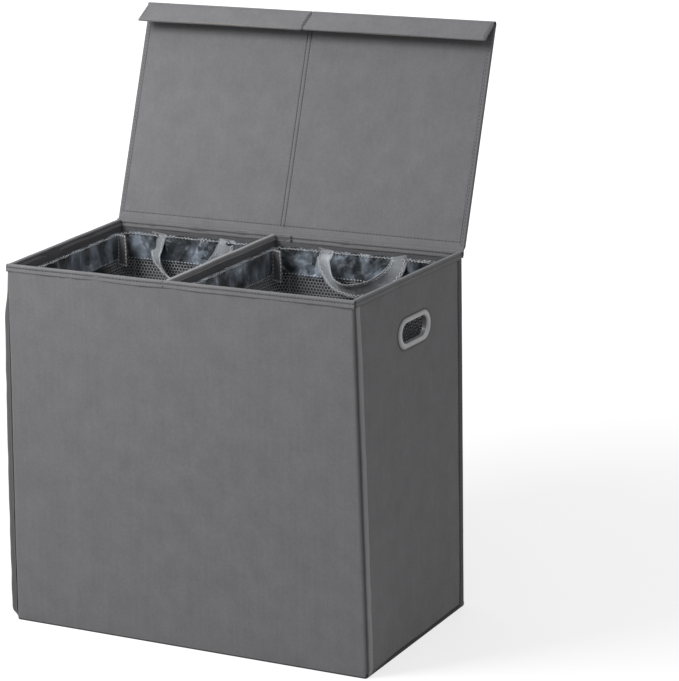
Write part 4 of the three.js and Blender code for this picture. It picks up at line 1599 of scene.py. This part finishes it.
def tab(name, where):
    """A dark tape tab that stands off its wall, with stitches round both faces."""
    node_name = f"{name}_liner_{where}_tab"
    low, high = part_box(node_name)
    side = 1 if where == "left" else -1
    inset = 2.2 * MM
    y = edged(low.y, high.y, 3 * MM, 4 * MM)[:, None]
    z = edged(low.z, high.z, 4 * MM, 4 * MM)
    rim = np.minimum(np.minimum(y - low.y, high.y - y), np.minimum(z - low.z, high.z - z))
    puff = 0.9 * MM * smooth((rim - 2.4 * MM) / (3 * MM)) + 0.4 * MM * smooth(rim / (1.2 * MM))
    groove = 0.35 * MM * bell(rim - inset, 0.7 * MM)
    bend = 1.2 * MM * np.sin(np.pi * (z - low.z) / (high.z - low.z))
    bend = bend + 0.3 * MM * waves(grid_of(0, y, z), 0.03, 191)
    turn = settings("liners").tab_turn
    way = np.array([side * math.sin(turn), -math.cos(turn), 0])
    outward = np.array([side * math.cos(turn), math.sin(turn), 0])
    grid = grid_of(high.x if side > 0 else low.x, high.y, z) + (high.y - y)[..., None] * way
    grid = grid + (puff - groove + bend)[..., None] * outward
    # The tab's middle is darkened by these values; its rim stays lighter.
    crease = 0.8 * smooth((rim - 2.6 * MM) / (0.9 * MM))
    cloth(f"{node_name}_tape", grid, 1.5 * MM * side, node_name, finish("tab"), crease)
    ends = [np.array((low.y, low.z)) + inset, np.array((high.y, high.z)) - inset]
    corners = [(ends[i][0], ends[k][1]) for i, k in ((0, 0), (0, 1), (1, 1), (1, 0), (0, 0))]
    line = []
    for start, end in zip(corners[:-1], corners[1:]):
        for spot_y, spot_z in np.linspace(start, end, 24, endpoint=False):
            line.append(grid[nearest(y, spot_y), nearest(z, spot_z)])
    line = np.array([*line, line[0]])
    for lift in (0.15 * MM, -1.6 * MM):
        seam(f"{name}_liner", line + outward * lift)


# Operators


ENDS = (("front", -1), ("back", 1))
SIDES = (("left", -1), ("right", 1))


class BuildBoards(bpy.types.Operator):
    """Make the stiff boards inside the walls, and finish those of the lid, flap and bins"""

    bl_idname = "hamper.build_boards"
    bl_label = "Boards"

    def execute(self, context):
        for name in ("front", "back", "left", "right", "divider"):
            board_copy(f"{name}_board")
        for name, slot in SLOT_OF.items():
            if slot == "board" and not frame["nodes"][name].hide_render:
                materials = frame["nodes"][name].data.materials
                materials.clear()
                materials.append(finish("board"))
        return {"FINISHED"}


class BuildCovers(bpy.types.Operator):
    """Make the outer cloth of the walls, the corner seams and the base"""

    bl_idname = "hamper.build_covers"
    bl_label = "Covers"

    def execute(self, context):
        for name, end in ENDS:
            end_cover(name, end)
        for name, side in SIDES:
            side_cover(name, side)
        for end_name, end in ENDS:
            for side_name, side in SIDES:
                corner_seam(end_name, side_name, end, side)
        base_cloth()
        return {"FINISHED"}


class BuildLinings(bpy.types.Operator):
    """Make the dark cloth inside the bins and on the dividing wall"""

    bl_idname = "hamper.build_linings"
    bl_label = "Linings"

    def execute(self, context):
        for name, side in (*ENDS, *SIDES):
            lining(name, side)
        for name, side in SIDES:
            divider_cover(name, side)
        return {"FINISHED"}


class BuildHems(bpy.types.Operator):
    """Make the folded strips round the rim and over the dividing wall"""

    bl_idname = "hamper.build_hems"
    bl_label = "Hems"

    def execute(self, context):
        for name, _ in ENDS:
            hem(f"{name}_hem", True)
        for name, _ in SIDES:
            hem(f"{name}_hem", False)
        divider_binding()
        return {"FINISHED"}


class BuildGrommets(bpy.types.Operator):
    """Make the plastic rings round the hand holes"""

    bl_idname = "hamper.build_grommets"
    bl_label = "Grommets"

    def execute(self, context):
        for name, side in SIDES:
            grommet(name, side)
        return {"FINISHED"}


class BuildLid(bpy.types.Operator):
    """Make the lid's cloth, bindings and hinge strip"""

    bl_idname = "hamper.build_lid"
    bl_label = "Lid"

    def execute(self, context):
        lid_skin("lid_lining", 0.0, -1)
        lid_skin("lid_cover", settings("lid").thickness, 1)
        for name, side in SIDES:
            lid_binding(name, side)
        hinge_cloth()
        return {"FINISHED"}


class BuildFlap(bpy.types.Operator):
    """Make the flap and the cloth round its fold"""

    bl_idname = "hamper.build_flap"
    bl_label = "Flap"

    def execute(self, context):
        flap_cloth()
        fold_cloth()
        return {"FINISHED"}


class BuildLiners(bpy.types.Operator):
    """Make the cuffs, nets, bottoms and tabs of the lift-out bags"""

    bl_idname = "hamper.build_liners"
    bl_label = "Liners"

    def execute(self, context):
        for name, _ in SIDES:
            liner_cuff(name)
            liner_net(name)
            liner_bottom(name)
            for where, _ in SIDES:
                tab(name, where)
        return {"FINISHED"}


class BuildHandles(bpy.types.Operator):
    """Make the strap handles of the lift-out bags"""

    bl_idname = "hamper.build_handles"
    bl_label = "Handles"

    def execute(self, context):
        for name, _ in SIDES:
            strap_handle(name, "back", 1)
            strap_handle(name, "front", -1)
        return {"FINISHED"}


class SewSeams(bpy.types.Operator):
    """Sew the rows of stitches that the other pieces ask for"""

    bl_idname = "hamper.sew_seams"
    bl_label = "Stitches"

    def execute(self, context):
        thread = settings("thread")
        for body, lines in SEAMS.items():
            light = body.endswith("liner")
            material = finish("light_thread" if light else "dark_thread")
            values = {
                "Pitch": thread.pitch,
                "Stitch": thread.stitch,
                "Thread Radius": thread.radius * (1.35 if light else 1),
                "Thread": material,
            }
            mesh = grown(line_mesh(lines), "stitches", values)
            thread_piece(f"{body}_stitches", mesh, body, material)
        for body, lines in ZIGZAGS.items():
            values = {"Thread Radius": 1.2 * thread.radius, "Thread": finish("light_thread")}
            mesh = grown(line_mesh(lines), "zigzag", values)
            thread_piece(f"{body}_zigzags", mesh, body, finish("light_thread"))
        return {"FINISHED"}


class BuildStage(bpy.types.Operator):
    """Set up the floor, the light and the camera"""

    bl_idname = "hamper.build_stage"
    bl_label = "Stage"

    def execute(self, context):
        studio = settings("studio")
        floor_and_world(studio)
        key_place = (-0.935, -1.107, 1.919)
        key_target = (0.0, 0.0, 0.45)
        key_size = 0.9
        lamp("key_light", key_place, key_target, key_size, studio.key_power)
        camera(studio)
        context.scene.view_settings.view_transform = "Standard"
        return {"FINISHED"}


def seen_by_camera(tree):
    """1 where the camera sees a surface itself or through metal or glass, 0 for other light."""
    path = tree.nodes.new("ShaderNodeLightPath").outputs
    seen = [path[f"Is {kind} Ray"] for kind in ("Camera", "Glossy", "Transmission")]
    return maths(tree, "MINIMUM", maths(tree, "ADD", *seen), 1.0)


def floor_and_world(studio):
    """White all round, and a floor that takes a shadow near the box and is white far away and from below."""
    world = bpy.data.worlds.new("Studio")
    world.use_nodes = True
    tree = world.node_tree
    background = tree.nodes["Background"]
    background.inputs["Color"].default_value = (1, 1, 1, 1)
    strength = ramped(tree, seen_by_camera(tree), 0.0, 1.0, studio.surround, 1.0)
    tree.links.new(strength, background.inputs["Strength"])
    bpy.context.scene.world = world
    values = {
        "Base Color": (*settings("colours").floor, 1),
        "Roughness": 0.9,
        "Specular IOR Level": 0.1,
        "Emission Color": (1, 1, 1, 1),
    }
    made, tree, shader, place = blank("Studio floor", values)
    away = node(tree, "ShaderNodeVectorMath", {0: place}, operation="LENGTH").outputs["Value"]
    near = 0.9
    far = 3.0
    lift = ramped(tree, away, near, far, studio.floor_lift, 0.95)
    tree.links.new(maths(tree, "MULTIPLY", seen_by_camera(tree), lift), shader.inputs["Emission Strength"])
    behind = tree.nodes.new("ShaderNodeNewGeometry").outputs["Backfacing"]
    clear = tree.nodes.new("ShaderNodeBsdfTransparent").outputs[0]
    choice = node(tree, "ShaderNodeMixShader", {0: behind, 1: shader.outputs[0], 2: clear})
    tree.links.new(choice.outputs[0], tree.nodes["Material Output"].inputs["Surface"])
    reach = 30
    corners = [(-reach, -reach, 0), (reach, -reach, 0), (reach, reach, 0), (-reach, reach, 0)]
    mesh = bpy.data.meshes.new("floor")
    mesh.from_pydata(corners, [], [(0, 1, 2, 3)])
    mesh.materials.append(made)
    floor = placed("floor", mesh)


def lamp(name, place, target, size, power):
    data = bpy.data.lights.new(name, "AREA")
    data.shape = "SQUARE"
    data.size = size
    data.energy = power
    made = placed(name, data)
    made.location = place
    made.rotation_euler = (Vector(target) - Vector(place)).to_track_quat("-Z", "Y").to_euler()


def camera(studio):
    data = bpy.data.cameras.new("camera")
    data.lens = studio.lens
    data.sensor_width = 36
    data.clip_end = 100
    made = placed("camera", data)
    bpy.context.scene.camera = made
    azimuth, elevation, roll = studio.azimuth, studio.elevation, studio.roll
    flat = Vector((math.sin(azimuth), -math.cos(azimuth), 0))
    back = flat * math.cos(elevation) + Vector((0, 0, math.sin(elevation)))
    right = (-back).cross(Vector((0, 0, 1))).normalized()
    up = back.cross(right)
    turned_right = right * math.cos(roll) + up * math.sin(roll)
    upright = up * math.cos(roll) - right * math.sin(roll)
    place = Vector((studio.target_x, 0, studio.target_z)) + back * studio.distance
    facing = Matrix((turned_right, upright, back)).transposed().to_4x4()
    made.matrix_world = Matrix.Translation(place) @ facing


class HamperPanel(bpy.types.Panel):
    """Lists the hamper's pieces and sizes in the sidebar"""

    bl_idname = "VIEW3D_PT_hamper"
    bl_label = "Laundry hamper"
    bl_space_type = "VIEW_3D"
    bl_region_type = "UI"
    bl_category = "Hamper"

    def draw(self, context):
        for operator in OPERATORS:
            self.layout.operator(operator.bl_idname)
        for name, group in GROUPS.items():
            box = self.layout.box()
            box.label(text=group.__name__)
            for key in group.__annotations__:
                box.prop(getattr(context.scene, name), key)


OPERATORS = (
    BuildBoards,
    BuildCovers,
    BuildLinings,
    BuildHems,
    BuildGrommets,
    BuildLid,
    BuildFlap,
    BuildLiners,
    BuildHandles,
    SewSeams,
    BuildStage,
)


def register():
    for group in GROUPS.values():
        bpy.utils.register_class(group)
    for name, group in GROUPS.items():
        setattr(bpy.types.Scene, name, bpy.props.PointerProperty(type=group))
    for operator in OPERATORS:
        bpy.utils.register_class(operator)
    bpy.utils.register_class(HamperPanel)


def unregister():
    bpy.utils.unregister_class(HamperPanel)
    for operator in reversed(OPERATORS):
        bpy.utils.unregister_class(operator)
    for name, group in reversed(GROUPS.items()):
        delattr(bpy.types.Scene, name)
        bpy.utils.unregister_class(group)


def main():
    register()
    for operator in OPERATORS:
        group, name = operator.bl_idname.split(".")
        getattr(getattr(bpy.ops, group), name)()


if __name__ == "__main__":
    main()
